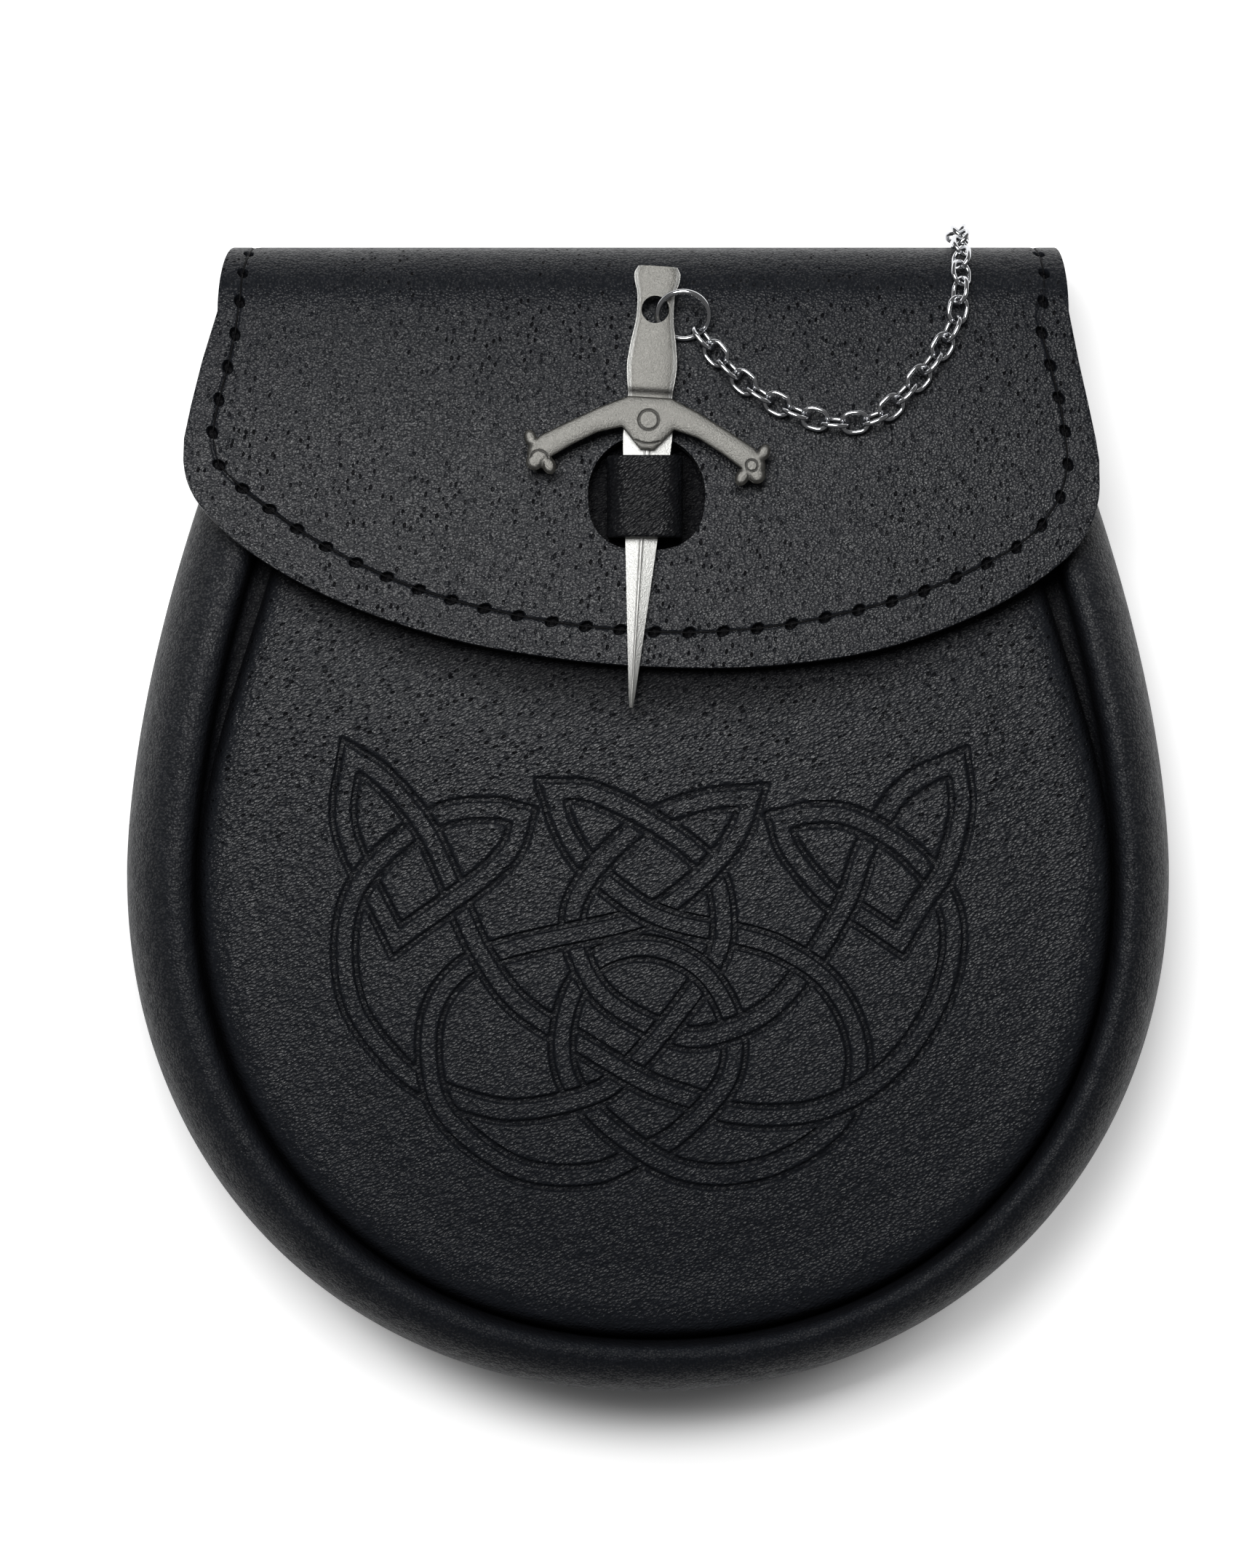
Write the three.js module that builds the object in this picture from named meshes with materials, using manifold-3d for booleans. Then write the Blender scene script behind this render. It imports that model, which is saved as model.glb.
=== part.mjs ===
// A round leather day sporran lying on its back, as a three.js scene graph in millimetres, +Z up.
// The pouch is worn in front of a kilt. A back panel, a gusset and a front panel make the open bag,
// and a lined flap folds over its mouth. A leather loop on the front panel comes up through a hole in
// the flap, and a dirk shaped pin slides through the loop and locks it. The pin hangs on a fine chain.
//
// +X is the wearer's left, +Y is up when worn, and +Z is the outward side, which lies upward here.
// The origin is on the outer face of the back panel, below the middle of the round body.

import * as THREE from 'three';
import { mergeVertices } from 'three/addons/utils/BufferGeometryUtils.js';
import Module from 'manifold-3d';

const wasm = await Module();
wasm.setup();

// Body outline, seen from the front
const BODY_HALF_WIDTH = 95.1;
const BODY_DROP = 94.9;
const BODY_ROUNDNESS = 2.1;
const SHOULDER_TAPER = 0.01057;
const SHOULDER_POWER = 1.69;
const MOUTH_Y = 95;
const LOWER_SHARE = 0.61;
const LOWER_STEPS = 10;
const SHOULDER_ROWS = [16, 32, 48, 62, 76, 82, 95];

// Depth of the body
const LEATHER = 1.8;
const SEAT_GAP = 0.3;
const BULGE_Z = 14;
const CREST_Z = 33.5;
const MOUTH_CREST_Z = 25;
const CREST_FALL_START_Y = 20;
const RIM_WIDTH = 12.4;
const PANEL_SHIFT = { x: 1.3, y: -1.7 };
const GROOVE_OPENING = 3.0;
const GROOVE_OPEN_START_Y = 5;
const GROOVE_OPEN_LENGTH = 50;
const DOME_RISE = 0.9;

// Back panel and the plain strap loop sewn on it
const BACK_THICKNESS = 2;
const BACK_INSET = 1.5;
const STRAP_LOOP = { halfWidth: 25, low: 24, high: 76, thickness: 2.2, corner: 4 };

// Flap, wrapped over the top fold
const FOLD = { y: 99, z: 15, radius: 15 };
const FLAP_SLOPE = THREE.MathUtils.degToRad(8.2);
const FLAP_PLY = 1.6;
const LINING_PLY = 1.2;
const FLAP_CORNER_Y = 78;
const FLAP_SIDE_DROOP = 1.8;
const FLAP_REACH_Y = 36.7;
const FLAP_COLUMNS = 20;
const LINING_COLUMNS = 14;
const FLAP_SKIRT_ROWS = 4;
const LINING_EDGE_INSET = 0.35;
const HOLE = { x: -0.3, y: 68.2, radius: 10.5, squareness: 2.6, steps: 24, above: 6, below: 8 };

// Loop of leather that the pin locks
const LOOP = { x: -0.6, halfWidth: 6.8, low: 60, high: 74.7, wall: 1.7, corner: 2.6, overBlade: 1.0 };

// Dirk pin
const PIN = { x: 0.05, y: 80.8, z: 35.82, lean: 3.49, tilt: 5.71, thickness: 1.4 };
const GUARD = { thickness: 1.2, gap: 0.15 };
const RIVET = { radius: 1.6, bore: 1.75, proud: 0.05, backHead: 2.4, backThickness: 0.5 };
const EYE = { x: 0, y: 20.3, radius: 2.5 };
const HOLE_STEPS = 16;
const DISC_SIDES = 12;

// Jump ring and chain
const RING = {
  x: 6.27,
  y: 100.05,
  z: 33.7,
  radius: 4.65,
  wire: 0.5,
  sides: 6,
  tilt: 30,
  axisTurn: 12,
  axisDip: 5,
};
const LINK = { count: 28, pitch: 3.62, length: 4.8, width: 3.7, wire: 0.43, sides: 5, steps: 12 };
const LINK_PITCH_SLACK = 0.04;
const CHAIN_LIFT = 2.2;
const CHAIN_FOLD_LIFT = 2.5;
const ANCHOR = {
  x: 57,
  past: 0.9,
  disc: 1.9,
  discHeight: 0.5,
  post: 0.8,
  postTop: 3.4,
  head: 1.9,
  crown: 1.4,
  headTop: 4.2,
};

// Smooth rise from 0 to 1 as t goes from 0 to 1
function smoothRise(t) {
  const c = THREE.MathUtils.clamp(t, 0, 1);
  return c * c * (3 - 2 * c);
}

// Straight lines between the rows of a table, read at one of its columns
function readTable(rows, key, at, column) {
  if (at <= rows[0][key]) {
    return rows[0][column];
  }
  for (let i = 1; i < rows.length; i += 1) {
    if (at <= rows[i][key]) {
      const share = (at - rows[i - 1][key]) / (rows[i][key] - rows[i - 1][key]);
      return THREE.MathUtils.lerp(rows[i - 1][column], rows[i][column], share);
    }
  }
  return rows[rows.length - 1][column];
}

// Turns a list of corner points, three for each face, into one closed geometry that faces out
function closeFaces(corners) {
  const loose = new THREE.BufferGeometry();
  loose.setAttribute('position', new THREE.BufferAttribute(new Float32Array(corners.flat()), 3));
  const merged = mergeVertices(loose, 1e-4);
  const index = merged.index.array;
  const position = merged.attributes.position;
  const kept = [];
  let volume = 0;
  const a = new THREE.Vector3();
  const b = new THREE.Vector3();
  const c = new THREE.Vector3();
  for (let i = 0; i < index.length; i += 3) {
    const [p, q, r] = [index[i], index[i + 1], index[i + 2]];
    if (p === q || q === r || r === p) {
      continue;
    }
    kept.push(p, q, r);
    a.fromBufferAttribute(position, p);
    b.fromBufferAttribute(position, q);
    c.fromBufferAttribute(position, r);
    volume += a.dot(b.cross(c));
  }
  if (volume < 0) {
    for (let i = 0; i < kept.length; i += 3) {
      [kept[i + 1], kept[i + 2]] = [kept[i + 2], kept[i + 1]];
    }
  }
  merged.setIndex(kept);
  return merged;
}

// A wall of leather between two grids of points. The grid's four edges are closed where edges says so.
function sheetBetween(outer, inner, edges = {}) {
  const { firstRow = true, lastRow = true, firstColumn = true, lastColumn = true } = edges;
  const rows = outer.length;
  const columns = outer[0].length;
  const corners = [];
  const quad = (p, q, r, s) => {
    corners.push(p.toArray(), q.toArray(), r.toArray());
    corners.push(p.toArray(), r.toArray(), s.toArray());
  };
  for (let i = 0; i < rows - 1; i += 1) {
    for (let j = 0; j < columns - 1; j += 1) {
      quad(outer[i][j], outer[i + 1][j], outer[i + 1][j + 1], outer[i][j + 1]);
      quad(inner[i][j], inner[i][j + 1], inner[i + 1][j + 1], inner[i + 1][j]);
    }
  }
  const last = columns - 1;
  for (let i = 0; i < rows - 1; i += 1) {
    if (firstColumn) {
      quad(outer[i][0], inner[i][0], inner[i + 1][0], outer[i + 1][0]);
    }
    if (lastColumn) {
      quad(outer[i][last], outer[i + 1][last], inner[i + 1][last], inner[i][last]);
    }
  }
  for (let j = 0; j < last; j += 1) {
    if (firstRow) {
      quad(outer[0][j], outer[0][j + 1], inner[0][j + 1], inner[0][j]);
    }
    if (lastRow) {
      quad(outer[rows - 1][j], inner[rows - 1][j], inner[rows - 1][j + 1], outer[rows - 1][j + 1]);
    }
  }
  return closeFaces(corners);
}

// Solids for joining and cutting, and back
function toSolid(geometry) {
  const loose = geometry.index ? geometry.toNonIndexed() : geometry;
  const merged = closeFaces(Array.from(loose.attributes.position.array));
  const mesh = new wasm.Mesh({
    numProp: 3,
    vertProperties: new Float32Array(merged.attributes.position.array),
    triVerts: new Uint32Array(merged.index.array),
  });
  return new wasm.Manifold(mesh);
}

function toGeometry(solid) {
  const mesh = solid.getMesh();
  const geometry = new THREE.BufferGeometry();
  geometry.setAttribute('position', new THREE.BufferAttribute(mesh.vertProperties, 3));
  geometry.setIndex(new THREE.BufferAttribute(mesh.triVerts, 1));
  return geometry;
}

// Body outline. t runs from -1 at the mouth's left end, through 0 at the bottom, to 1 at its right end.
function shoulderHalfWidth(y) {
  return BODY_HALF_WIDTH - SHOULDER_TAPER * Math.pow(Math.max(y, 0), SHOULDER_POWER);
}

function outlinePoint(t) {
  const side = Math.sign(t);
  const along = Math.abs(t);
  if (along < LOWER_SHARE) {
    const turn = (along / LOWER_SHARE) * (Math.PI / 2);
    const x = BODY_HALF_WIDTH * Math.pow(Math.sin(turn), 2 / BODY_ROUNDNESS);
    const y = -BODY_DROP * Math.pow(Math.cos(turn), 2 / BODY_ROUNDNESS);
    return new THREE.Vector2(side * x, y);
  }
  const y = (MOUTH_Y * (along - LOWER_SHARE)) / (1 - LOWER_SHARE);
  return new THREE.Vector2(side * shoulderHalfWidth(y), y);
}

// A point inset from the outline. Above the widest line the inset is level, so the mouth stays straight.
function insetPoint(t, inset) {
  const at = outlinePoint(t);
  const shift = Math.min(inset / RIM_WIDTH, 1);
  const step = 1e-3;
  if (Math.abs(t) < LOWER_SHARE) {
    const run = outlinePoint(t + step).sub(outlinePoint(t - step)).normalize();
    at.x += -run.y * inset;
    at.y += run.x * inset;
    at.y += PANEL_SHIFT.y * shift;
  } else {
    const slope = (shoulderHalfWidth(at.y + step) - shoulderHalfWidth(at.y - step)) / (2 * step);
    at.x -= Math.sign(t) * inset * Math.hypot(1, slope);
    at.y += PANEL_SHIFT.y * shift * (1 - at.y / MOUTH_Y);
  }
  at.x += PANEL_SHIFT.x * shift;
  return at;
}

// Stations round the body from the mouth's left end to its right end
function bodyStations() {
  const right = Array.from({ length: LOWER_STEPS }, (_, i) => (LOWER_SHARE * (i + 1)) / LOWER_STEPS);
  for (const y of SHOULDER_ROWS) {
    right.push(LOWER_SHARE + ((1 - LOWER_SHARE) * y) / MOUTH_Y);
  }
  const left = right.map((t) => -t).reverse();
  return left.concat([0], right);
}

// Heights above the widest line shrink towards the mouth, where the bag is thinner
function crestHeight(y) {
  const fall = smoothRise((y - CREST_FALL_START_Y) / (MOUTH_Y - CREST_FALL_START_Y));
  return THREE.MathUtils.lerp(CREST_Z, MOUTH_CREST_Z, fall);
}

function bodyHeight(z, y) {
  const share = (crestHeight(y) - BULGE_Z) / (CREST_Z - BULGE_Z);
  return z <= BULGE_Z ? z : BULGE_Z + (z - BULGE_Z) * share;
}

// The back panel stands off the surface over the strap loop's tunnel and over the flap's sewn tail
const TAIL_RISE = FLAP_PLY + LINING_PLY + 2 * SEAT_GAP;
const STRAP_LOOP_SEAT = STRAP_LOOP.thickness + SEAT_GAP;
const TUNNEL_RISE = 8.4;
const BACK_DENT = [
  { y: 16, rise: 0 },
  { y: 24, rise: STRAP_LOOP_SEAT },
  { y: 33, rise: STRAP_LOOP_SEAT },
  { y: 38, rise: TUNNEL_RISE },
  { y: 62, rise: TUNNEL_RISE },
  { y: 67, rise: STRAP_LOOP_SEAT },
  { y: 76, rise: STRAP_LOOP_SEAT },
  { y: 82, rise: TAIL_RISE },
];
const TAIL_STEP = [
  { y: 76, rise: 0 },
  { y: 82, rise: TAIL_RISE },
];
const DENT_EDGE_X = 27;
const DENT_FADE = 24;

function tailRise(y) {
  return readTable(TAIL_STEP, 'y', y, 'rise');
}

function backRise(x, y) {
  const away = smoothRise((Math.abs(x) - DENT_EDGE_X) / DENT_FADE);
  return THREE.MathUtils.lerp(readTable(BACK_DENT, 'y', y, 'rise'), tailRise(y), away);
}

function makeBackPanel() {
  const straightRows = [94.6, 88, 82, 76, 67, 62, 50, 38, 33, 24, 16, 0];
  const turns = [76, 62, 48, 35, 24, 14, 5].map(THREE.MathUtils.degToRad);
  const shares = [-1, -0.8, -0.56, -0.43, -0.3, -0.15, 0, 0.15, 0.3, 0.43, 0.56, 0.8, 1];
  const lines = straightRows.map((y) => ({ y, half: shoulderHalfWidth(y) - BACK_INSET }));
  for (const turn of turns) {
    lines.push({
      y: -(BODY_DROP - BACK_INSET) * Math.pow(Math.cos(turn), 2 / BODY_ROUNDNESS),
      half: (BODY_HALF_WIDTH - BACK_INSET) * Math.pow(Math.sin(turn), 2 / BODY_ROUNDNESS),
    });
  }
  const face = (height) =>
    lines.map(({ y, half }) =>
      shares.map((share) => new THREE.Vector3(share * half, y, backRise(share * half, y) + height)),
    );
  return sheetBetween(face(0), face(BACK_THICKNESS));
}

// Section of the gusset from its back flange, round the bulge and the rim, to the lip below the groove
const GUSSET_SECTION = [
  { inset: 9.0, z: 2.3, innerInset: 9.0, innerZ: 4.1 },
  { inset: 2.8, z: 2.3, innerInset: 3.6, innerZ: 4.1 },
  { inset: 0.9, z: 3.8, innerInset: 2.4, innerZ: 5.3 },
  { inset: 0.1, z: 8.5, innerInset: 1.9, innerZ: 9.0 },
  { inset: 0.0, z: 15.0, innerInset: 1.8, innerZ: 15.0 },
  { inset: 0.6, z: 22.0, innerInset: 2.4, innerZ: 21.6 },
  { inset: 2.6, z: 28.0, innerInset: 4.1, innerZ: 27.0 },
  { inset: 5.8, z: 32.0, innerInset: 6.6, innerZ: 30.3 },
  { inset: 9.2, z: 33.5, innerInset: 9.2, innerZ: 31.6 },
  { inset: 11.4, z: 32.2, innerInset: 10.0, innerZ: 30.8 },
  { inset: 12.2, z: 29.5, innerInset: 10.4, innerZ: 29.0 },
  { inset: 12.6, z: 26.7, innerInset: 10.8, innerZ: 25.1 },
  { inset: 20.5, z: 26.4, innerInset: 20.5, innerZ: 24.8 },
];

const FLANGE_TOP_Z = 5.3;

function makeGusset() {
  const outer = [];
  const inner = [];
  for (const t of bodyStations()) {
    const place = (inset, z) => {
      const at = insetPoint(t, inset);
      const low = THREE.MathUtils.clamp((BULGE_Z - z) / (BULGE_Z - FLANGE_TOP_Z), 0, 1);
      return new THREE.Vector3(at.x, at.y, bodyHeight(z, at.y) + tailRise(at.y) * low);
    };
    outer.push(GUSSET_SECTION.map((row) => place(row.inset, row.z)));
    inner.push(GUSSET_SECTION.map((row) => place(row.innerInset, row.innerZ)));
  }
  return sheetBetween(outer, inner);
}

// Rolled edge of the front panel. in is measured inward from the panel's own edge.
const PANEL_EDGE = [
  { in: 0.0, z: 27.2, innerIn: 1.9, innerZ: 27.2 },
  { in: 0.2, z: 30.2, innerIn: 2.2, innerZ: 29.4 },
  { in: 1.5, z: 32.6, innerIn: 3.1, innerZ: 31.0 },
  { in: 4.5, z: 33.7, innerIn: 5.0, innerZ: 31.9 },
  { in: 12.0, z: 34.0, innerIn: 12.0, innerZ: 32.2 },
];
const PANEL_CROWN_SHARES = [0.3, 0.62, 1];
const PANEL_CROWN_Z = 34.0;

// How far the panel's edge draws back from the rim, which opens the groove towards the mouth
function grooveOpening(y) {
  return GROOVE_OPENING * smoothRise((y - GROOVE_OPEN_START_Y) / GROOVE_OPEN_LENGTH);
}

function makeFrontPanel() {
  const outer = [];
  const inner = [];
  const edge = RIM_WIDTH + SEAT_GAP;
  for (const t of bodyStations()) {
    const away = edge + grooveOpening(outlinePoint(t).y);
    const place = (inset, z) => {
      const at = insetPoint(t, inset);
      return new THREE.Vector3(at.x, at.y, bodyHeight(z, at.y));
    };
    const outerLine = PANEL_EDGE.map((row) => place(away + row.in, row.z));
    const innerLine = PANEL_EDGE.map((row) => place(away + row.innerIn, row.innerZ));
    const from = insetPoint(t, away + PANEL_EDGE[PANEL_EDGE.length - 1].in);
    const spineY = from.y < 0 ? from.y / 4 : from.y;
    for (const share of PANEL_CROWN_SHARES) {
      const x = THREE.MathUtils.lerp(from.x, PANEL_SHIFT.x, share);
      const y = THREE.MathUtils.lerp(from.y, spineY, share);
      const z = PANEL_CROWN_Z + DOME_RISE * share * (2 - share);
      outerLine.push(new THREE.Vector3(x, y, bodyHeight(z, y)));
      innerLine.push(new THREE.Vector3(x, y, bodyHeight(z - LEATHER, y)));
    }
    outer.push(outerLine);
    inner.push(innerLine);
  }
  return sheetBetween(outer, inner, { lastColumn: false });
}

// Rows of the flap from its sewn tail, over the fold, down to the level of its corners
const FLAP_TAIL = [
  { y: 84.5, left: -71.5, right: 71.0 },
  { y: 92.0, left: -72.0, right: 71.5 },
];
const FLAP_FOLD = { steps: 8, left: -72.5, right: 72.0, frontLeft: -77.6, frontRight: 75.8 };
const FLAP_FRONT = [
  { y: 92.0, left: -80.3, right: 77.5 },
  { y: 84.0, left: -82.2, right: 79.2 },
  { y: FLAP_CORNER_Y, left: -83.4, right: 80.4 },
];

// Lower edge of the flap from its left corner to its right one
const FLAP_EDGE = [
  { x: -83.5, y: 74.0 },
  { x: -82.9, y: 70.6 },
  { x: -80.8, y: 66.4 },
  { x: -73.8, y: 59.4 },
  { x: -59.8, y: 50.7 },
  { x: -38.8, y: 42.8 },
  { x: -17.8, y: 38.6 },
  { x: 3.2, y: 36.8 },
  { x: 24.3, y: 37.3 },
  { x: 45.3, y: 41.1 },
  { x: 66.4, y: 50.2 },
  { x: 77.6, y: 59.4 },
  { x: 80.7, y: 66.4 },
  { x: 81.0, y: 74.0 },
];

// Height and outward normal of the flap's outer face in front of the fold
const FLAP_START = {
  y: FOLD.y + FOLD.radius * Math.sin(FLAP_SLOPE),
  z: FOLD.z + FOLD.radius * Math.cos(FLAP_SLOPE),
};

function flapHeight(x, y) {
  const down = FLAP_START.y - y;
  const droop = FLAP_SIDE_DROOP * Math.pow(x / BODY_HALF_WIDTH, 2) * (down / (FLAP_START.y - FLAP_REACH_Y));
  return FLAP_START.z + down * Math.tan(FLAP_SLOPE) - droop;
}

// One face of the flap, at a depth below its outer face
function flapFace(depth, columns, edgeInset) {
  const shares = Array.from({ length: columns + 1 }, (_, j) => j / columns);
  const across = (row, share) => THREE.MathUtils.lerp(row.left + edgeInset, row.right - edgeInset, share);
  const grid = FLAP_TAIL.map((row) =>
    shares.map((share) => new THREE.Vector3(across(row, share), row.y, depth)),
  );
  for (let i = 0; i <= FLAP_FOLD.steps; i += 1) {
    const angle = THREE.MathUtils.lerp(Math.PI, FLAP_SLOPE, i / FLAP_FOLD.steps);
    const widen = smoothRise(i / FLAP_FOLD.steps);
    const row = {
      left: THREE.MathUtils.lerp(FLAP_FOLD.left, FLAP_FOLD.frontLeft, widen),
      right: THREE.MathUtils.lerp(FLAP_FOLD.right, FLAP_FOLD.frontRight, widen),
    };
    const y = FOLD.y + (FOLD.radius - depth) * Math.sin(angle);
    const z = FOLD.z + (FOLD.radius - depth) * Math.cos(angle);
    grid.push(shares.map((share) => new THREE.Vector3(across(row, share), y, z)));
  }
  const front = (x, y) => {
    const sink = depth * Math.sin(FLAP_SLOPE);
    return new THREE.Vector3(x, y - sink, flapHeight(x, y) - depth * Math.cos(FLAP_SLOPE));
  };
  for (const row of FLAP_FRONT) {
    grid.push(shares.map((share) => front(across(row, share), row.y)));
  }
  const edge = new THREE.CatmullRomCurve3(
    FLAP_EDGE.map((point) => new THREE.Vector3(point.x, point.y + edgeInset, 0)),
    false,
    'centripetal',
  );
  const corner = FLAP_FRONT[FLAP_FRONT.length - 1];
  for (let i = 1; i <= FLAP_SKIRT_ROWS; i += 1) {
    const down = i / FLAP_SKIRT_ROWS;
    grid.push(
      shares.map((share) => {
        const end = edge.getPointAt(share);
        const endX = end.x * (1 - edgeInset / BODY_HALF_WIDTH);
        const x = THREE.MathUtils.lerp(across(corner, share), endX, down);
        return front(x, THREE.MathUtils.lerp(corner.y, end.y, down));
      }),
    );
  }
  return grid;
}

// The hole in the flap is round above and a little square below, where the loop's end fills it
function holeCutter() {
  const shape = new THREE.Shape();
  for (let i = 0; i < HOLE.steps; i += 1) {
    const turn = (2 * Math.PI * i) / HOLE.steps;
    const power = Math.sin(turn) < 0 ? 2 / HOLE.squareness : 1;
    const x = HOLE.radius * Math.sign(Math.cos(turn)) * Math.pow(Math.abs(Math.cos(turn)), power);
    const y = HOLE.radius * Math.sign(Math.sin(turn)) * Math.pow(Math.abs(Math.sin(turn)), power);
    if (i === 0) {
      shape.moveTo(x, y);
    } else {
      shape.lineTo(x, y);
    }
  }
  const cutter = new THREE.ExtrudeGeometry(shape, { depth: HOLE.above + HOLE.below, bevelEnabled: false });
  cutter.translate(0, 0, -HOLE.below);
  cutter.rotateX(-FLAP_SLOPE);
  cutter.translate(HOLE.x, HOLE.y, flapHeight(HOLE.x, HOLE.y));
  return toSolid(cutter);
}

function makeFlapPly(depth, thickness, columns, edgeInset) {
  const outer = flapFace(depth, columns, edgeInset);
  const inner = flapFace(depth + thickness, columns, edgeInset);
  return toGeometry(toSolid(sheetBetween(outer, inner)).subtract(holeCutter()));
}

// Height of the dirk pin's middle plane
function pinHeight(y) {
  return PIN.z - (y - PIN.y) * Math.tan(THREE.MathUtils.degToRad(PIN.tilt));
}

// Height of the front panel's outer face near its middle line
function panelHeight(y) {
  return bodyHeight(PANEL_CROWN_Z + DOME_RISE, y);
}

// Arch of leather standing on the front panel, as a strip bent over the blade
function makeClosureLoop() {
  const stations = [LOOP.low, (LOOP.low + LOOP.high) / 2, LOOP.high];
  const cornerSteps = 4;
  const line = (y, depth) => {
    const foot = panelHeight(y) + SEAT_GAP;
    const top = pinHeight(y) + PIN.thickness / 2 + LOOP.overBlade / 2 + LOOP.wall - depth;
    const half = LOOP.halfWidth - depth;
    const corner = LOOP.corner - depth;
    const right = [new THREE.Vector3(half, y, foot)];
    for (let i = 0; i <= cornerSteps; i += 1) {
      const turn = (i / cornerSteps) * (Math.PI / 2);
      const x = half - corner + corner * Math.cos(turn);
      right.push(new THREE.Vector3(x, y, top - corner + corner * Math.sin(turn)));
    }
    const left = right.map((point) => new THREE.Vector3(-point.x, y, point.z)).reverse();
    return right.concat(left).map((point) => point.setX(point.x + LOOP.x));
  };
  return sheetBetween(stations.map((y) => line(y, 0)), stations.map((y) => line(y, LOOP.wall)));
}

// Plain strip on the back that the hanging strap passes through
function makeStrapLoop() {
  const { halfWidth, low, high, corner, thickness } = STRAP_LOOP;
  const shape = new THREE.Shape();
  shape.moveTo(-halfWidth + corner, low);
  shape.lineTo(halfWidth - corner, low);
  shape.absarc(halfWidth - corner, low + corner, corner, -Math.PI / 2, 0);
  shape.absarc(halfWidth - corner, high - corner, corner, 0, Math.PI / 2);
  shape.absarc(-halfWidth + corner, high - corner, corner, Math.PI / 2, Math.PI);
  shape.absarc(-halfWidth + corner, low + corner, corner, Math.PI, 1.5 * Math.PI);
  return new THREE.ExtrudeGeometry(shape, { depth: thickness, bevelEnabled: false, curveSegments: 4 });
}

// Right half of the dirk's outline, from the pommel to the point. The rivet is at the origin.
const DIRK_HALF = [
  { half: 3.2, along: 28.2 },
  { half: 3.95, along: 27.8 },
  { half: 4.2, along: 26.6 },
  { half: 3.95, along: 25.1 },
  { half: 3.35, along: 23.4 },
  { half: 3.25, along: 20.5 },
  { half: 3.35, along: 18.2 },
  { half: 4.1, along: 14.0 },
  { half: 4.5, along: 10.5 },
  { half: 4.35, along: 8.0 },
  { half: 3.95, along: 5.2 },
  { half: 3.95, along: 2.0 },
  { half: 4.4, along: -1.0 },
  { half: 4.35, along: -4.0 },
  { half: 2.95, along: -20.5 },
  { half: 0.45, along: -51.0 },
  { half: 0.2, along: -51.7 },
];

function mirroredShape(half) {
  const right = half.map((row) => new THREE.Vector2(row.half, row.along));
  const left = half.map((row) => new THREE.Vector2(-row.half, row.along));
  return new THREE.Shape(left.concat(right.reverse()));
}

function circlePoints(x, y, radius, steps) {
  return Array.from({ length: steps }, (_, i) => {
    const turn = (2 * Math.PI * i) / steps;
    return new THREE.Vector2(x + radius * Math.cos(turn), y + radius * Math.sin(turn));
  });
}

function roundHole(x, y, radius) {
  return new THREE.Path(circlePoints(x, y, radius, HOLE_STEPS));
}

function makeDirk() {
  const shape = mirroredShape(DIRK_HALF);
  shape.holes.push(roundHole(EYE.x, EYE.y, EYE.radius));
  shape.holes.push(roundHole(0, 0, RIVET.bore));
  const plate = new THREE.ExtrudeGeometry(shape, {
    depth: PIN.thickness,
    bevelEnabled: false,
  });
  plate.translate(0, 0, -PIN.thickness / 2);
  return plate;
}

// Right half of the crossguard's plate, from the top edge out along the arm and back to the tongue
const GUARD_HALF = [
  { half: 3.85, along: 4.15 },
  { half: 8.8, along: 1.9 },
  { half: 14.4, along: -1.2 },
  { half: 19.3, along: -4.0 },
  { half: 20.9, along: -6.6 },
  { half: 17.4, along: -7.9 },
  { half: 13.4, along: -5.2 },
  { half: 9.0, along: -2.7 },
  { half: 4.65, along: -1.45 },
  { half: 1.25, along: -5.3 },
];

// Lobes of the leaf at each arm's end
const GUARD_LOBES = [
  { half: 19.3, along: -7.1, across: 2.0, long: 2.0, turn: 0 },
  { half: 20.9, along: -4.5, across: 0.95, long: 1.45, turn: -20 },
  { half: 19.9, along: -8.7, across: 1.4, long: 1.4, turn: 0 },
  { half: 17.3, along: -9.2, across: 1.0, long: 1.5, turn: -25 },
];

function makeGuard() {
  const shape = mirroredShape(GUARD_HALF);
  shape.holes.push(roundHole(0, 0, RIVET.bore));
  const plate = new THREE.ExtrudeGeometry(shape, {
    depth: GUARD.thickness,
    bevelEnabled: false,
  });
  let solid = toSolid(plate);
  for (const side of [-1, 1]) {
    for (const lobe of GUARD_LOBES) {
      const disc = new THREE.CylinderGeometry(1, 1, GUARD.thickness, DISC_SIDES);
      disc.rotateX(Math.PI / 2);
      disc.scale(lobe.across, lobe.long, 1);
      disc.rotateZ(side * THREE.MathUtils.degToRad(lobe.turn));
      disc.translate(side * lobe.half, lobe.along, GUARD.thickness / 2);
      solid = solid.add(toSolid(disc));
    }
  }
  return toGeometry(solid);
}

// Rivet through the guard and the blade, with a flat head behind
function makePinRivet() {
  const back = -PIN.thickness / 2 - GUARD.gap;
  const top = PIN.thickness / 2 + GUARD.gap + GUARD.thickness + RIVET.proud;
  const profile = [
    new THREE.Vector2(0, back - RIVET.backThickness),
    new THREE.Vector2(RIVET.backHead, back - RIVET.backThickness),
    new THREE.Vector2(RIVET.backHead, back),
    new THREE.Vector2(RIVET.radius, back),
    new THREE.Vector2(RIVET.radius, top),
    new THREE.Vector2(0, top),
  ];
  const rivet = new THREE.LatheGeometry(profile, HOLE_STEPS);
  rivet.rotateX(Math.PI / 2);
  return rivet;
}

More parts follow.
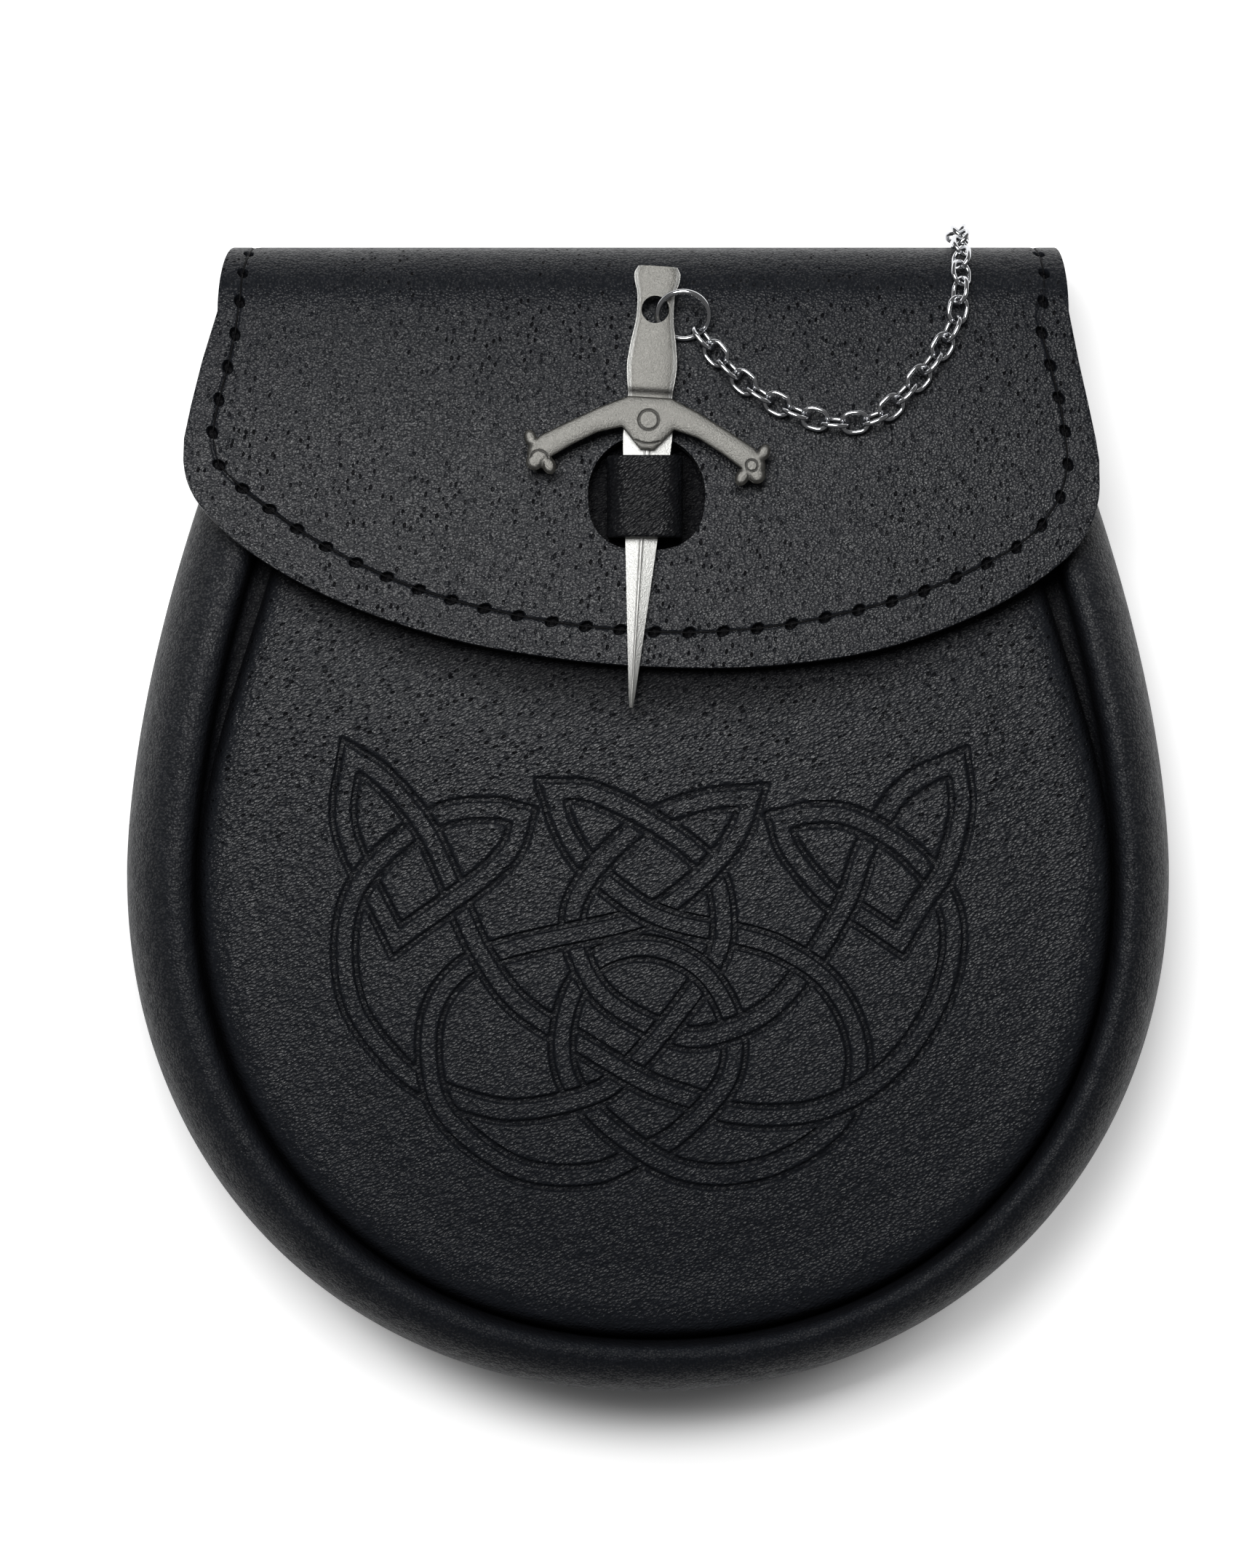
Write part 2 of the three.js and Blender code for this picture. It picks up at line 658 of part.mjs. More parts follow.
// A closed wire loop along points that lie flat in the XY plane
function wireLoop(points, wire, sides) {
  const count = points.length;
  const ring = (i) => {
    const at = points[i % count];
    const next = points[(i + 1) % count];
    const before = points[(i + count - 1) % count];
    const outward = new THREE.Vector2(next.y - before.y, before.x - next.x).normalize();
    return Array.from({ length: sides }, (_, k) => {
      const turn = (2 * Math.PI * k) / sides;
      const reach = wire * Math.cos(turn);
      return new THREE.Vector3(at.x + outward.x * reach, at.y + outward.y * reach, wire * Math.sin(turn));
    });
  };
  const corners = [];
  for (let i = 0; i < count; i += 1) {
    const here = ring(i);
    const there = ring(i + 1);
    for (let k = 0; k < sides; k += 1) {
      const next = (k + 1) % sides;
      corners.push(here[k].toArray(), there[k].toArray(), there[next].toArray());
      corners.push(here[k].toArray(), there[next].toArray(), here[next].toArray());
    }
  }
  return closeFaces(corners);
}

// One chain link: two half circles joined by straight sides, lying along X
function linkPoints() {
  const bend = LINK.width / 2;
  const straight = LINK.length / 2 - bend;
  const arcSteps = LINK.steps / 2 - 1;
  const points = [];
  for (const side of [1, -1]) {
    for (let i = 0; i <= arcSteps; i += 1) {
      const turn = -Math.PI / 2 + (Math.PI * i) / arcSteps;
      points.push(new THREE.Vector2(side * (straight + bend * Math.cos(turn)), side * bend * Math.sin(turn)));
    }
  }
  return points;
}

// Where the ring lies: through the pin's eye at its left, with its near side raised
function placeRing(ring) {
  ring.position.set(RING.x, RING.y, RING.z);
  const axis = new THREE.Matrix4().makeRotationZ(THREE.MathUtils.degToRad(-RING.axisTurn));
  const dip = new THREE.Matrix4().makeRotationY(THREE.MathUtils.degToRad(RING.axisDip));
  const tilt = new THREE.Matrix4().makeRotationX(THREE.MathUtils.degToRad(RING.tilt));
  ring.setRotationFromMatrix(axis.multiply(dip).multiply(tilt));
  ring.updateMatrix();
}

// Route of the chain over the flap's front, as it lies
const CHAIN_ROUTE = [
  { x: 13.9, y: 91.2 },
  { x: 18.9, y: 86.6 },
  { x: 25.9, y: 82.8 },
  { x: 33.4, y: 80.7 },
  { x: 40.8, y: 81.6 },
  { x: 46.6, y: 86.6 },
  { x: 52.1, y: 93.3 },
  { x: 55.3, y: 99.6 },
];
const CHAIN_FOLD_ANGLES = [22, 48, 74, 100, 126];
const CHAIN_FOLD_SWAY = 0.8;
const FIRST_LINK_TURN = THREE.MathUtils.degToRad(-36);
const FIRST_LINK_PLAY = 0.05;

function foldPoint(x, angle, lift) {
  const turn = THREE.MathUtils.degToRad(angle);
  const reach = FOLD.radius + lift;
  return new THREE.Vector3(x, FOLD.y + reach * Math.sin(turn), FOLD.z + reach * Math.cos(turn));
}

function flapNormal(at) {
  if (at.y < FLAP_START.y && at.z > FOLD.z) {
    return new THREE.Vector3(0, Math.sin(FLAP_SLOPE), Math.cos(FLAP_SLOPE));
  }
  return new THREE.Vector3(0, at.y - FOLD.y, at.z - FOLD.z).normalize();
}

function chainCurve(ring) {
  const reach = RING.radius - RING.wire - 2 * LINK.wire - FIRST_LINK_PLAY;
  const toLink = new THREE.Vector3(Math.cos(FIRST_LINK_TURN), Math.sin(FIRST_LINK_TURN), 0);
  const inRing = toLink.multiplyScalar(reach);
  const start = inRing.applyMatrix4(ring.matrix);
  const points = [start];
  for (const { x, y } of CHAIN_ROUTE) {
    points.push(new THREE.Vector3(x, y, flapHeight(x, y) + CHAIN_LIFT));
  }
  CHAIN_FOLD_ANGLES.forEach((angle, i) => {
    points.push(foldPoint(ANCHOR.x - CHAIN_FOLD_SWAY / (i + 1), angle, CHAIN_FOLD_LIFT));
  });
  return new THREE.CatmullRomCurve3(points, false, 'centripetal');
}

// Places one link, turned about the chain's own line so that it interlocks with its neighbours
function placeLink(link, centre, along, roll) {
  const side = new THREE.Vector3().crossVectors(flapNormal(centre), along).normalize();
  const up = new THREE.Vector3().crossVectors(along, side);
  const basis = new THREE.Matrix4().makeBasis(along, side, up);
  basis.multiply(new THREE.Matrix4().makeRotationX(THREE.MathUtils.degToRad(roll)));
  link.setRotationFromMatrix(basis);
  link.position.copy(centre);
}

// Every second link lies nearly flat and the ones between stand across them. Where the chain hangs
// over the fold both kinds lean the same, and the last one lies quite flat on its rivet.
const ROLL_FLAT = 29;
const ROLL_FOLD = 45;
const ROLL_ACROSS = 89;
const FIRST_LEANING_LINK = 16;
const LEANING_LINKS = 5;
const SETTLING_LINKS = 3;

function linkRoll(index) {
  const lean = smoothRise((index - FIRST_LEANING_LINK) / LEANING_LINKS);
  const settle = smoothRise((index + 2 + SETTLING_LINKS - LINK.count) / SETTLING_LINKS);
  const flat = THREE.MathUtils.lerp(ROLL_FLAT, ROLL_FOLD, lean) * (1 - settle);
  return index % 2 === 0 ? flat - ROLL_ACROSS : flat;
}

// Rivet on the fold's far side that holds the chain's last link
function makeAnchor() {
  const profile = [
    new THREE.Vector2(0, 0),
    new THREE.Vector2(ANCHOR.disc, 0),
    new THREE.Vector2(ANCHOR.disc, ANCHOR.discHeight),
    new THREE.Vector2(ANCHOR.post, ANCHOR.discHeight),
    new THREE.Vector2(ANCHOR.post, ANCHOR.postTop),
    new THREE.Vector2(ANCHOR.head, ANCHOR.postTop),
    new THREE.Vector2(ANCHOR.crown, ANCHOR.headTop),
    new THREE.Vector2(0, ANCHOR.headTop),
  ];
  const rivet = new THREE.LatheGeometry(profile, DISC_SIDES);
  rivet.rotateX(Math.PI / 2);
  return rivet;
}

// Materials
const leather = (color) => new THREE.MeshStandardMaterial({ color, roughness: 0.55, metalness: 0 });
const metal = (color, roughness) => new THREE.MeshStandardMaterial({ color, roughness, metalness: 1 });

function named(name, geometry, material) {
  const mesh = new THREE.Mesh(geometry, material);
  mesh.name = name;
  return mesh;
}

// The whole pouch
const sporran = new THREE.Group();
sporran.add(named('back_panel', makeBackPanel(), leather(0x202124)));
sporran.add(named('gusset', makeGusset(), leather(0x26272a)));
sporran.add(named('front_panel', makeFrontPanel(), leather(0x2c2d30)));
sporran.add(named('flap', makeFlapPly(0, FLAP_PLY, FLAP_COLUMNS, 0), leather(0x303134)));
const liningDepth = FLAP_PLY + SEAT_GAP;
const lining = makeFlapPly(liningDepth, LINING_PLY, LINING_COLUMNS, LINING_EDGE_INSET);
sporran.add(named('flap_lining', lining, leather(0x1a1a1c)));
sporran.add(named('closure_loop', makeClosureLoop(), leather(0x232427)));
sporran.add(named('strap_loop', makeStrapLoop(), leather(0x202124)));

const pin = new THREE.Group();
pin.position.set(PIN.x, PIN.y, PIN.z);
pin.rotation.set(THREE.MathUtils.degToRad(-PIN.tilt), 0, THREE.MathUtils.degToRad(-PIN.lean), 'ZYX');
pin.add(named('pin_dirk', makeDirk(), metal(0x9a9994, 0.45)));
const guard = named('pin_guard', makeGuard(), metal(0x8f8e8a, 0.5));
guard.position.z = PIN.thickness / 2 + GUARD.gap;
pin.add(guard);
pin.add(named('pin_rivet', makePinRivet(), metal(0x8b8a86, 0.5)));
sporran.add(pin);

const ringWire = wireLoop(circlePoints(0, 0, RING.radius, HOLE_STEPS), RING.wire, RING.sides);
const ring = named('jump_ring', ringWire, metal(0xb5b6b8, 0.15));
placeRing(ring);
sporran.add(ring);

const curve = chainCurve(ring);
const routeLength = curve.getLength();
const pitch = (routeLength - LINK.length / 2) / (LINK.count - 1);
if (Math.abs(pitch - LINK.pitch) > LINK_PITCH_SLACK) {
  throw new Error(`the chain's route asks for a pitch of ${pitch.toFixed(3)} mm`);
}
let lastCentre;
for (let i = 0; i < LINK.count; i += 1) {
  const share = Math.min((LINK.length / 2 + i * pitch) / routeLength, 1);
  const centre = curve.getPointAt(share);
  const along = curve.getTangentAt(share);
  const link = named(
    `chain_link_${String(i + 1).padStart(2, '0')}`,
    wireLoop(linkPoints(), LINK.wire, LINK.sides),
    metal(0xc4c5c8, 0.12),
  );
  placeLink(link, centre, along, linkRoll(i));
  sporran.add(link);
  lastCentre = centre;
}

const anchor = named('chain_rivet', makeAnchor(), metal(0xb5b6b8, 0.2));
const lastAngle = THREE.MathUtils.radToDeg(Math.atan2(lastCentre.y - FOLD.y, lastCentre.z - FOLD.z));
const anchorAngle = lastAngle + THREE.MathUtils.radToDeg(ANCHOR.past / (FOLD.radius + CHAIN_FOLD_LIFT));
anchor.position.copy(foldPoint(lastCentre.x, anchorAngle, SEAT_GAP));
anchor.rotation.x = -THREE.MathUtils.degToRad(anchorAngle);
sporran.add(anchor);

export default sporran;
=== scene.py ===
"""Looks of a black leather sporran pouch and its dirk pin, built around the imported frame."""

import logging
import math
from collections.abc import Callable, Iterator
from contextlib import contextmanager
from dataclasses import dataclass, field
from enum import Enum

import bpy
import numpy as np
from mathutils import Matrix, Vector
from mathutils.kdtree import KDTree


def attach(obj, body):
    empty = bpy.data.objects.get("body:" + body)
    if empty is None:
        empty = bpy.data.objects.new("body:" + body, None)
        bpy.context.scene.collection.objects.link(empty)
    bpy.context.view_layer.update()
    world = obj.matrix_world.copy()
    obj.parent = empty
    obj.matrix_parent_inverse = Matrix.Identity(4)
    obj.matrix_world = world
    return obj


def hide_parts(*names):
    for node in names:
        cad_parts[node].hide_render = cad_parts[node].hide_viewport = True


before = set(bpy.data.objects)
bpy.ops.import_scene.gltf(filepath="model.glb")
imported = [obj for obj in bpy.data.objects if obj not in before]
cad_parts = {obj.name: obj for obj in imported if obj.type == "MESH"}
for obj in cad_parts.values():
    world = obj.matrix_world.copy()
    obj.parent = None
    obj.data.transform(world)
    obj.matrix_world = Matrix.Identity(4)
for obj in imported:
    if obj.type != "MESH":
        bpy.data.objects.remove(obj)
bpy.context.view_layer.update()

LOG = logging.getLogger("sporran")
MM = 0.001
BODY = "root"
# Vertex attribute of painted shade: in sunk lines, awl holes and the crease, in the groove and below the
# flap's edge.
PAINTED_SHADE = "pressed"
POLISHED = "polished"
# Points of a new sheet that are closer than this, in millimetres, are one point.
DOUBLE_GAP = 0.002
# A cut edge is rounded where its faces meet at more than this, in degrees.
CUT_EDGE_ANGLE = 50.0
# A vertex belongs to the face that a press works on when its normal leans this far that way.
FACING = 0.3
UP = Vector((0, 0, 1))
# Most of a noise pattern's values lie between these.
NOISE_LOW = 0.3
NOISE_HIGH = 0.7


class Slot(Enum):
    """Material slots of the record."""

    BODY = "body_leather"
    PANEL = "panel_leather"
    FLAP = "flap_leather"
    LINING = "lining_leather"
    PIN = "pin_metal"
    CHAIN = "chain_metal"


def smooth_rise(t: np.ndarray) -> np.ndarray:
    """Smooth rise from 0 to 1 as t goes from 0 to 1."""
    c = np.clip(t, 0, 1)
    return c * c * (3 - 2 * c)


def lerp(a: np.ndarray | float, b: np.ndarray | float, t: np.ndarray | float) -> np.ndarray:
    """Straight mix of a and b."""
    return a + (b - a) * t


def curve_through(points: list[tuple[float, ...]], step: float) -> np.ndarray:
    """Samples a smooth curve that passes through given points.

    Args:
        points: The points, in millimetres, in two or three dimensions.
        step: Longest distance between two samples.

    Returns:
        The samples, one a row, from the first point to the last.
    """
    p = np.array(points, float)
    p = np.vstack([2 * p[0] - p[1], p, 2 * p[-1] - p[-2]])
    knots = np.concatenate([[0], np.cumsum(np.sqrt(np.linalg.norm(np.diff(p, axis=0), axis=1)))])
    made = []
    for i in range(1, len(p) - 2):
        t0, t1, t2, t3 = knots[i - 1:i + 3]
        p0, p1, p2, p3 = p[i - 1:i + 3]
        count = max(2, math.ceil(np.linalg.norm(p2 - p1) / step))
        t = np.linspace(t1, t2, count, endpoint=False)[:, None]
        a1 = lerp(p0, p1, (t - t0) / (t1 - t0))
        a2 = lerp(p1, p2, (t - t1) / (t2 - t1))
        a3 = lerp(p2, p3, (t - t2) / (t3 - t2))
        b1 = lerp(a1, a2, (t - t0) / (t2 - t0))
        b2 = lerp(a2, a3, (t - t1) / (t3 - t1))
        made.append(lerp(b1, b2, (t - t1) / (t2 - t1)))
    made.append(p[-2:-1])
    return np.vstack(made)


def evenly(path: np.ndarray, count: int) -> np.ndarray:
    """Resamples a path at equal distances.

    Args:
        path: Points of the path, one a row.
        count: How many points to give back.

    Returns:
        The new points, from the first to the last.
    """
    run = np.concatenate([[0], np.cumsum(np.linalg.norm(np.diff(path, axis=0), axis=1))])
    at = np.linspace(0, run[-1], count)
    return np.stack([np.interp(at, run, path[:, k]) for k in range(path.shape[1])], 1)


def unit(rows: np.ndarray) -> np.ndarray:
    """Rows scaled to a length of 1."""
    return rows / np.linalg.norm(rows, axis=-1, keepdims=True)


def nearest_tree(points: np.ndarray) -> KDTree:
    """A tree that finds the nearest of some points, of two or three dimensions."""
    tree = KDTree(len(points))
    for i, point in enumerate(points):
        tree.insert(Vector((*point, 0.0)[:3]), i)
    tree.balance()
    return tree


def read(items: bpy.types.bpy_prop_collection, key: str, width: int, kind: type = float) -> np.ndarray:
    """Reads one property of every item.

    Args:
        items: Vertices, edges, loops or polygons of a mesh.
        key: The property's name.
        width: How many numbers it has.
        kind: float or int.

    Returns:
        The numbers, one item a row.
    """
    numbers = np.zeros(len(items) * width, np.int32 if kind is int else np.float32)
    items.foreach_get(key, numbers)
    return numbers.reshape(-1, width).astype(kind)


def start_from(primitive: Callable[..., set[str]], name: str, **settings: object) -> bpy.types.Object:
    """Adds one of Blender's primitives, selected alone, under a name."""
    bpy.ops.object.select_all(action="DESELECT")
    primitive(**settings)
    obj = bpy.context.active_object
    obj.name = name
    return obj


def select_only(obj: bpy.types.Object) -> None:
    """Makes obj the one selected, active object."""
    bpy.ops.object.select_all(action="DESELECT")
    obj.select_set(True)
    bpy.context.view_layer.objects.active = obj


@contextmanager
def editing(obj: bpy.types.Object) -> Iterator[None]:
    """Edit mode on obj, with all of it selected at the start."""
    select_only(obj)
    bpy.ops.object.mode_set(mode="EDIT")
    bpy.ops.mesh.select_all(action="SELECT")
    try:
        yield
    finally:
        bpy.ops.object.mode_set(mode="OBJECT")


def apply_modifier(obj: bpy.types.Object, kind: str, **settings: object) -> None:
    """Adds a modifier with its settings and applies it."""
    select_only(obj)
    modifier = obj.modifiers.new(kind.lower(), kind)
    for key, value in settings.items():
        setattr(modifier, key, value)
    bpy.ops.object.modifier_apply(modifier=modifier.name)


def cut_away(obj: bpy.types.Object, cutter: bpy.types.Object) -> None:
    """Cuts the cutter out of obj and removes the cutter."""
    apply_modifier(obj, "BOOLEAN", object=cutter, operation="DIFFERENCE", solver="EXACT")
    bpy.data.objects.remove(cutter)


def close_up(obj: bpy.types.Object, gap: float) -> None:
    """Merges points closer than gap, in millimetres, and turns a closed mesh's faces outward."""
    with editing(obj):
        bpy.ops.mesh.remove_doubles(threshold=gap * MM)
        bpy.ops.mesh.normals_make_consistent(inside=False)


def join(pieces: list[bpy.types.Object]) -> bpy.types.Object:
    """Joins pieces into the first one."""
    select_only(pieces[0])
    for piece in pieces[1:]:
        piece.select_set(True)
    bpy.ops.object.join()
    return pieces[0]


def vertices_mm(obj: bpy.types.Object) -> np.ndarray:
    """Vertex places in millimetres, one a row."""
    return read(obj.data.vertices, "co", 3) / MM


def normals_of(obj: bpy.types.Object) -> np.ndarray:
    """Vertex normals, one a row."""
    return read(obj.data.vertices, "normal", 3)


def place_vertices(obj: bpy.types.Object, points: np.ndarray) -> None:
    """Sets vertex places, given in millimetres."""
    obj.data.vertices.foreach_set("co", (points * MM).astype(np.float32).ravel())
    obj.data.update()


def placed_grid(name: str, points: np.ndarray,
                outward: tuple[float, float, float]) -> bpy.types.Object:
    """Adds a grid primitive and shapes it over a field of points.

    Args:
        name: Name of the new object.
        points: Field of points in millimetres, rows by columns by three.
        outward: Direction that the face in the middle of the field looks in.

    Returns:
        The open sheet, with its doubles merged and its normals pointing outward.
    """
    rows, columns = points.shape[:2]
    cells = {"x_subdivisions": columns - 1, "y_subdivisions": rows - 1}
    obj = start_from(bpy.ops.mesh.primitive_grid_add, name, **cells)
    obj.data.name = name
    place_vertices(obj, points.reshape(-1, 3))
    middle = obj.data.polygons[(rows // 2) * (columns - 1) + columns // 2]
    flip = middle.normal.dot(Vector(outward)) < 0
    with editing(obj):
        bpy.ops.mesh.remove_doubles(threshold=DOUBLE_GAP * MM)
        if flip:
            bpy.ops.mesh.flip_normals()
    return obj


def turned(name: str, profile: list[tuple[float, float]], sides: int) -> bpy.types.Object:
    """Turns a profile about Z into a closed solid.

    Args:
        name: Name of the new object.
        profile: Radius and height pairs in millimetres, from axis to axis.
        sides: How many sides the round has.

    Returns:
        The closed object.
    """
    angle = np.linspace(0, 2 * math.pi, sides + 1)
    radius, height = np.array(profile, float).T[:, :, None]
    points = np.stack([radius * np.cos(angle), radius * np.sin(angle), height + 0 * angle], -1)
    obj = placed_grid(name, points, (0, 0, 1))
    close_up(obj, gap=0.004)
    return obj


def give_wall(obj: bpy.types.Object, thickness: float, edge: float) -> None:
    """Gives an open sheet its thickness, inward, and rounds its cut edges.

    Args:
        obj: The sheet, with its normals outward.
        thickness: Wall thickness in millimetres.
        edge: Rounding of the cut edges in millimetres, or 0 for none.
    """
    apply_modifier(obj, "SOLIDIFY", thickness=thickness * MM, offset=-1, use_even_offset=True)
    if edge:
        round_edges(obj, edge, CUT_EDGE_ANGLE)


def round_edges(obj: bpy.types.Object, width: float, over: float) -> None:
    """Rounds edges sharper than an angle.

    Args:
        obj: The mesh.
        width: Width of the rounding in millimetres.
        over: Smallest angle between faces that is rounded, in degrees.
    """
    settings = {"width": width * MM, "segments": 3, "limit_method": "ANGLE"}
    apply_modifier(obj, "BEVEL", angle_limit=math.radians(over), use_clamp_overlap=True, **settings)


def shade(obj: bpy.types.Object, angle: float) -> None:
    """Smooth shading, with edges sharper than angle in degrees kept."""
    select_only(obj)
    bpy.ops.object.shade_smooth_by_angle(angle=math.radians(angle))


def settle(obj: bpy.types.Object, slot: Slot, material: bpy.types.Material, *nodes: str) -> None:
    """Dresses a finished piece and ties it to the frame.

    Args:
        obj: The piece.
        slot: The record's material slot; not used.
        material: Its finish.
        nodes: CAD nodes that it stands for.
    """
    obj.data.materials.clear()
    obj.data.materials.append(material)
    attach(obj, BODY)
    if nodes:
        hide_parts(*nodes)
    LOG.info("%s: %d faces", obj.name, len(obj.data.polygons))


def linear(hex_colour: str) -> tuple[float, float, float, float]:
    """Turns an sRGB hex colour into a linear one."""
    made = []
    for i in (0, 2, 4):
        c = int(hex_colour[i:i + 2], 16) / 255
        made.append(c / 12.92 if c <= 0.04045 else ((c + 0.055) / 1.055) ** 2.4)
    return (*made, 1.0)


def add_node(tree: bpy.types.NodeTree, kind: str, links: dict | None = None,
             **settings: object) -> bpy.types.Node:
    """Adds a node.

    Args:
        tree: The material's node tree.
        kind: Blender's name for the node type.
        links: For each input, by name or number, an output socket or a constant.
        settings: Properties of the node.

    Returns:
        The node.
    """
    node = tree.nodes.new(kind)
    for key, value in settings.items():
        setattr(node, key, value)
    for key, value in (links or {}).items():
        if isinstance(value, bpy.types.NodeSocket):
            tree.links.new(value, node.inputs[key])
        else:
            node.inputs[key].default_value = value
    return node


def new_material(name: str) -> tuple[bpy.types.Material, bpy.types.NodeTree, bpy.types.Node]:
    """A new material with one principled shader.

    Args:
        name: The material's name.

    Returns:
        The material, its tree and its shader node.
    """
    material = bpy.data.materials.new(name)
    material.use_nodes = True
    shader = material.node_tree.nodes["Principled BSDF"]
    return material, material.node_tree, shader


@dataclass(frozen=True)
class LeatherFinish:
    """Drum-dyed cowhide with a printed pebble grain and a satin top coat.

    The hide is dyed near black, so what the eye sees is the coat's dull sheen broken by the grain. Hair
    pores stay open as short dark strokes, all lying one way across a hide. Their sizes were matched
    to the photo. The sheen is the specular level, set below the usual 0.5 so that the render is
    as light as the photo. Its fall is a low Y, a share of it there, a high Y and a share there, and is
    painted light: the sheen is painted weaker in one stretch along the pouch and stronger in another.
    Pores and painted shade share one darker, duller colour and a lower sheen.
    """

    name: str
    colour: str = "121417"
    worn_colour: str = "191b20"
    roughness: float = 0.35
    roughness_spread: tuple[float, float] = (-0.05, 0.07)
    sheen: float = 0.31
    # Shares of the sheen on the grain's tops and in its cracks: painted light and shade of the grain.
    grain_top_painted_sheen: float = 1.6
    grain_crack_painted_sheen: float = 0.4
    grain: tuple[float, float] = (0.48, 0.42)
    grain_turn: float = 0.0
    grain_depth: float = 0.1
    grain_tops: tuple[float, float] = (0.15, 0.6)
    bend_mm: float = 1.4
    bend_shift: float = 0.5
    crease_mm: float = 2.6
    crease_depth: float = 0.3
    pore: tuple[float, float] = (2.1, 1.2)
    pore_turn: float = 80.0
    pore_depth: float = 0.3
    pore_rim: tuple[float, float] = (0.15, 0.25)
    pore_chance: tuple[float, float, float] = (0.15, 0.45, 0.3)
    pore_amount: float = 1.0
    pore_fade: tuple[float, float] | None = None
    patch_mm: float = 26.0
    patch_rim: tuple[float, float] = (0.36, 0.56)
    patch_low: float = 0.3
    painted_sheen_fall: tuple[float, float, float, float] = (75.0, 1.0, 104.0, 0.6)
    pore_and_painted_shade_colour: str = "0d0d0f"
    pore_and_painted_shade_sheen: float = 0.1

    def laid(self, tree: bpy.types.NodeTree, place: bpy.types.NodeSocket, size: tuple[float, float],
             turn: float) -> bpy.types.NodeSocket:
        """Places for a pattern whose cells have a length, a width and a direction.

        Args:
            tree: The material's node tree.
            place: The places on the object.
            size: Length and width of a cell in millimetres.
            turn: Direction of the length from X, in degrees.

        Returns:
            The places counted in cells.
        """
        scale = (size[0] * MM, size[1] * MM, size[0] * MM)
        links = {"Vector": place, "Rotation": (0, 0, math.radians(turn)), "Scale": scale}
        return add_node(tree, "ShaderNodeMapping", links, vector_type="TEXTURE").outputs[0]

    def pores(self, tree: bpy.types.NodeTree, place: bpy.types.NodeSocket,
              spot: bpy.types.NodeSocket) -> bpy.types.NodeSocket:
        """Where the open pores are.

        Args:
            tree: The material's node tree.
            place: The places on the object, gently bent.
            spot: The places on the object.

        Returns:
            1 in a pore and 0 beside it.
        """
        laid = self.laid(tree, place, self.pore, self.pore_turn)
        pore = add_node(tree, "ShaderNodeTexVoronoi", {"Vector": laid, "Scale": 1.0, "Randomness": 0.9})
        inside, outside = self.pore_rim
        rim = {"Value": pore.outputs["Distance"], "From Min": inside, "From Max": outside,
               "To Min": self.pore_amount, "To Max": 0.0}
        amount = add_node(tree, "ShaderNodeMapRange", rim, interpolation_type="SMOOTHSTEP").outputs[0]
        first, last, least = self.pore_chance
        chance = {"Value": pore.outputs["Color"], "From Min": first, "From Max": last, "To Min": least}
        herd = {"Vector": spot, "Scale": 1 / (self.patch_mm * MM), "Detail": 1.0}
        bare, full = self.patch_rim
        patch = {"Value": add_node(tree, "ShaderNodeTexNoise", herd).outputs[0],
                 "From Min": bare, "From Max": full, "To Min": self.patch_low}
        for limits in (chance, patch):
            share = add_node(tree, "ShaderNodeMapRange", limits).outputs[0]
            amount = add_node(tree, "ShaderNodeMath", {0: amount, 1: share}, operation="MULTIPLY").outputs[0]
        if not self.pore_fade:
            return amount
        height = add_node(tree, "ShaderNodeSeparateXYZ", {0: spot}).outputs["Y"]
        ends = {"Value": height, "From Min": self.pore_fade[0] * MM, "From Max": self.pore_fade[1] * MM}
        fade = add_node(tree, "ShaderNodeMapRange", ends, interpolation_type="SMOOTHSTEP").outputs[0]
        return add_node(tree, "ShaderNodeMath", {0: amount, 1: fade}, operation="MULTIPLY").outputs[0]

    def build(self) -> bpy.types.Material:
        """Makes the material.

        Returns:
            The node material.
        """
        material, tree, shader = new_material(self.name)
        spot = add_node(tree, "ShaderNodeTexCoord").outputs["Object"]
        bend = {"Vector": spot, "Scale": 1 / (self.bend_mm * MM), "Detail": 2.0}
        middle = {0: add_node(tree, "ShaderNodeTexNoise", bend).outputs["Color"], 1: (0.5, 0.5, 0.5)}
        shift = add_node(tree, "ShaderNodeVectorMath", middle, operation="SUBTRACT").outputs[0]
        size = {0: shift, "Scale": self.bend_shift * MM}
        drift = add_node(tree, "ShaderNodeVectorMath", size, operation="SCALE").outputs[0]
        place = add_node(tree, "ShaderNodeVectorMath", {0: spot, 1: drift}, operation="ADD").outputs[0]
        cells = {"Vector": self.laid(tree, place, self.grain, self.grain_turn), "Scale": 1.0}
        pebble = add_node(tree, "ShaderNodeTexVoronoi", cells).outputs["Distance"]
        folds = {"Vector": place, "Scale": 1 / (self.crease_mm * MM), "Detail": 5.0, "Roughness": 0.62}
        crease = add_node(tree, "ShaderNodeTexNoise", folds).outputs[0]
        pore = self.pores(tree, place, spot)
        # Painted shade, kept on the mesh.
        pressed = add_node(tree, "ShaderNodeAttribute", attribute_name=PAINTED_SHADE).outputs["Fac"]

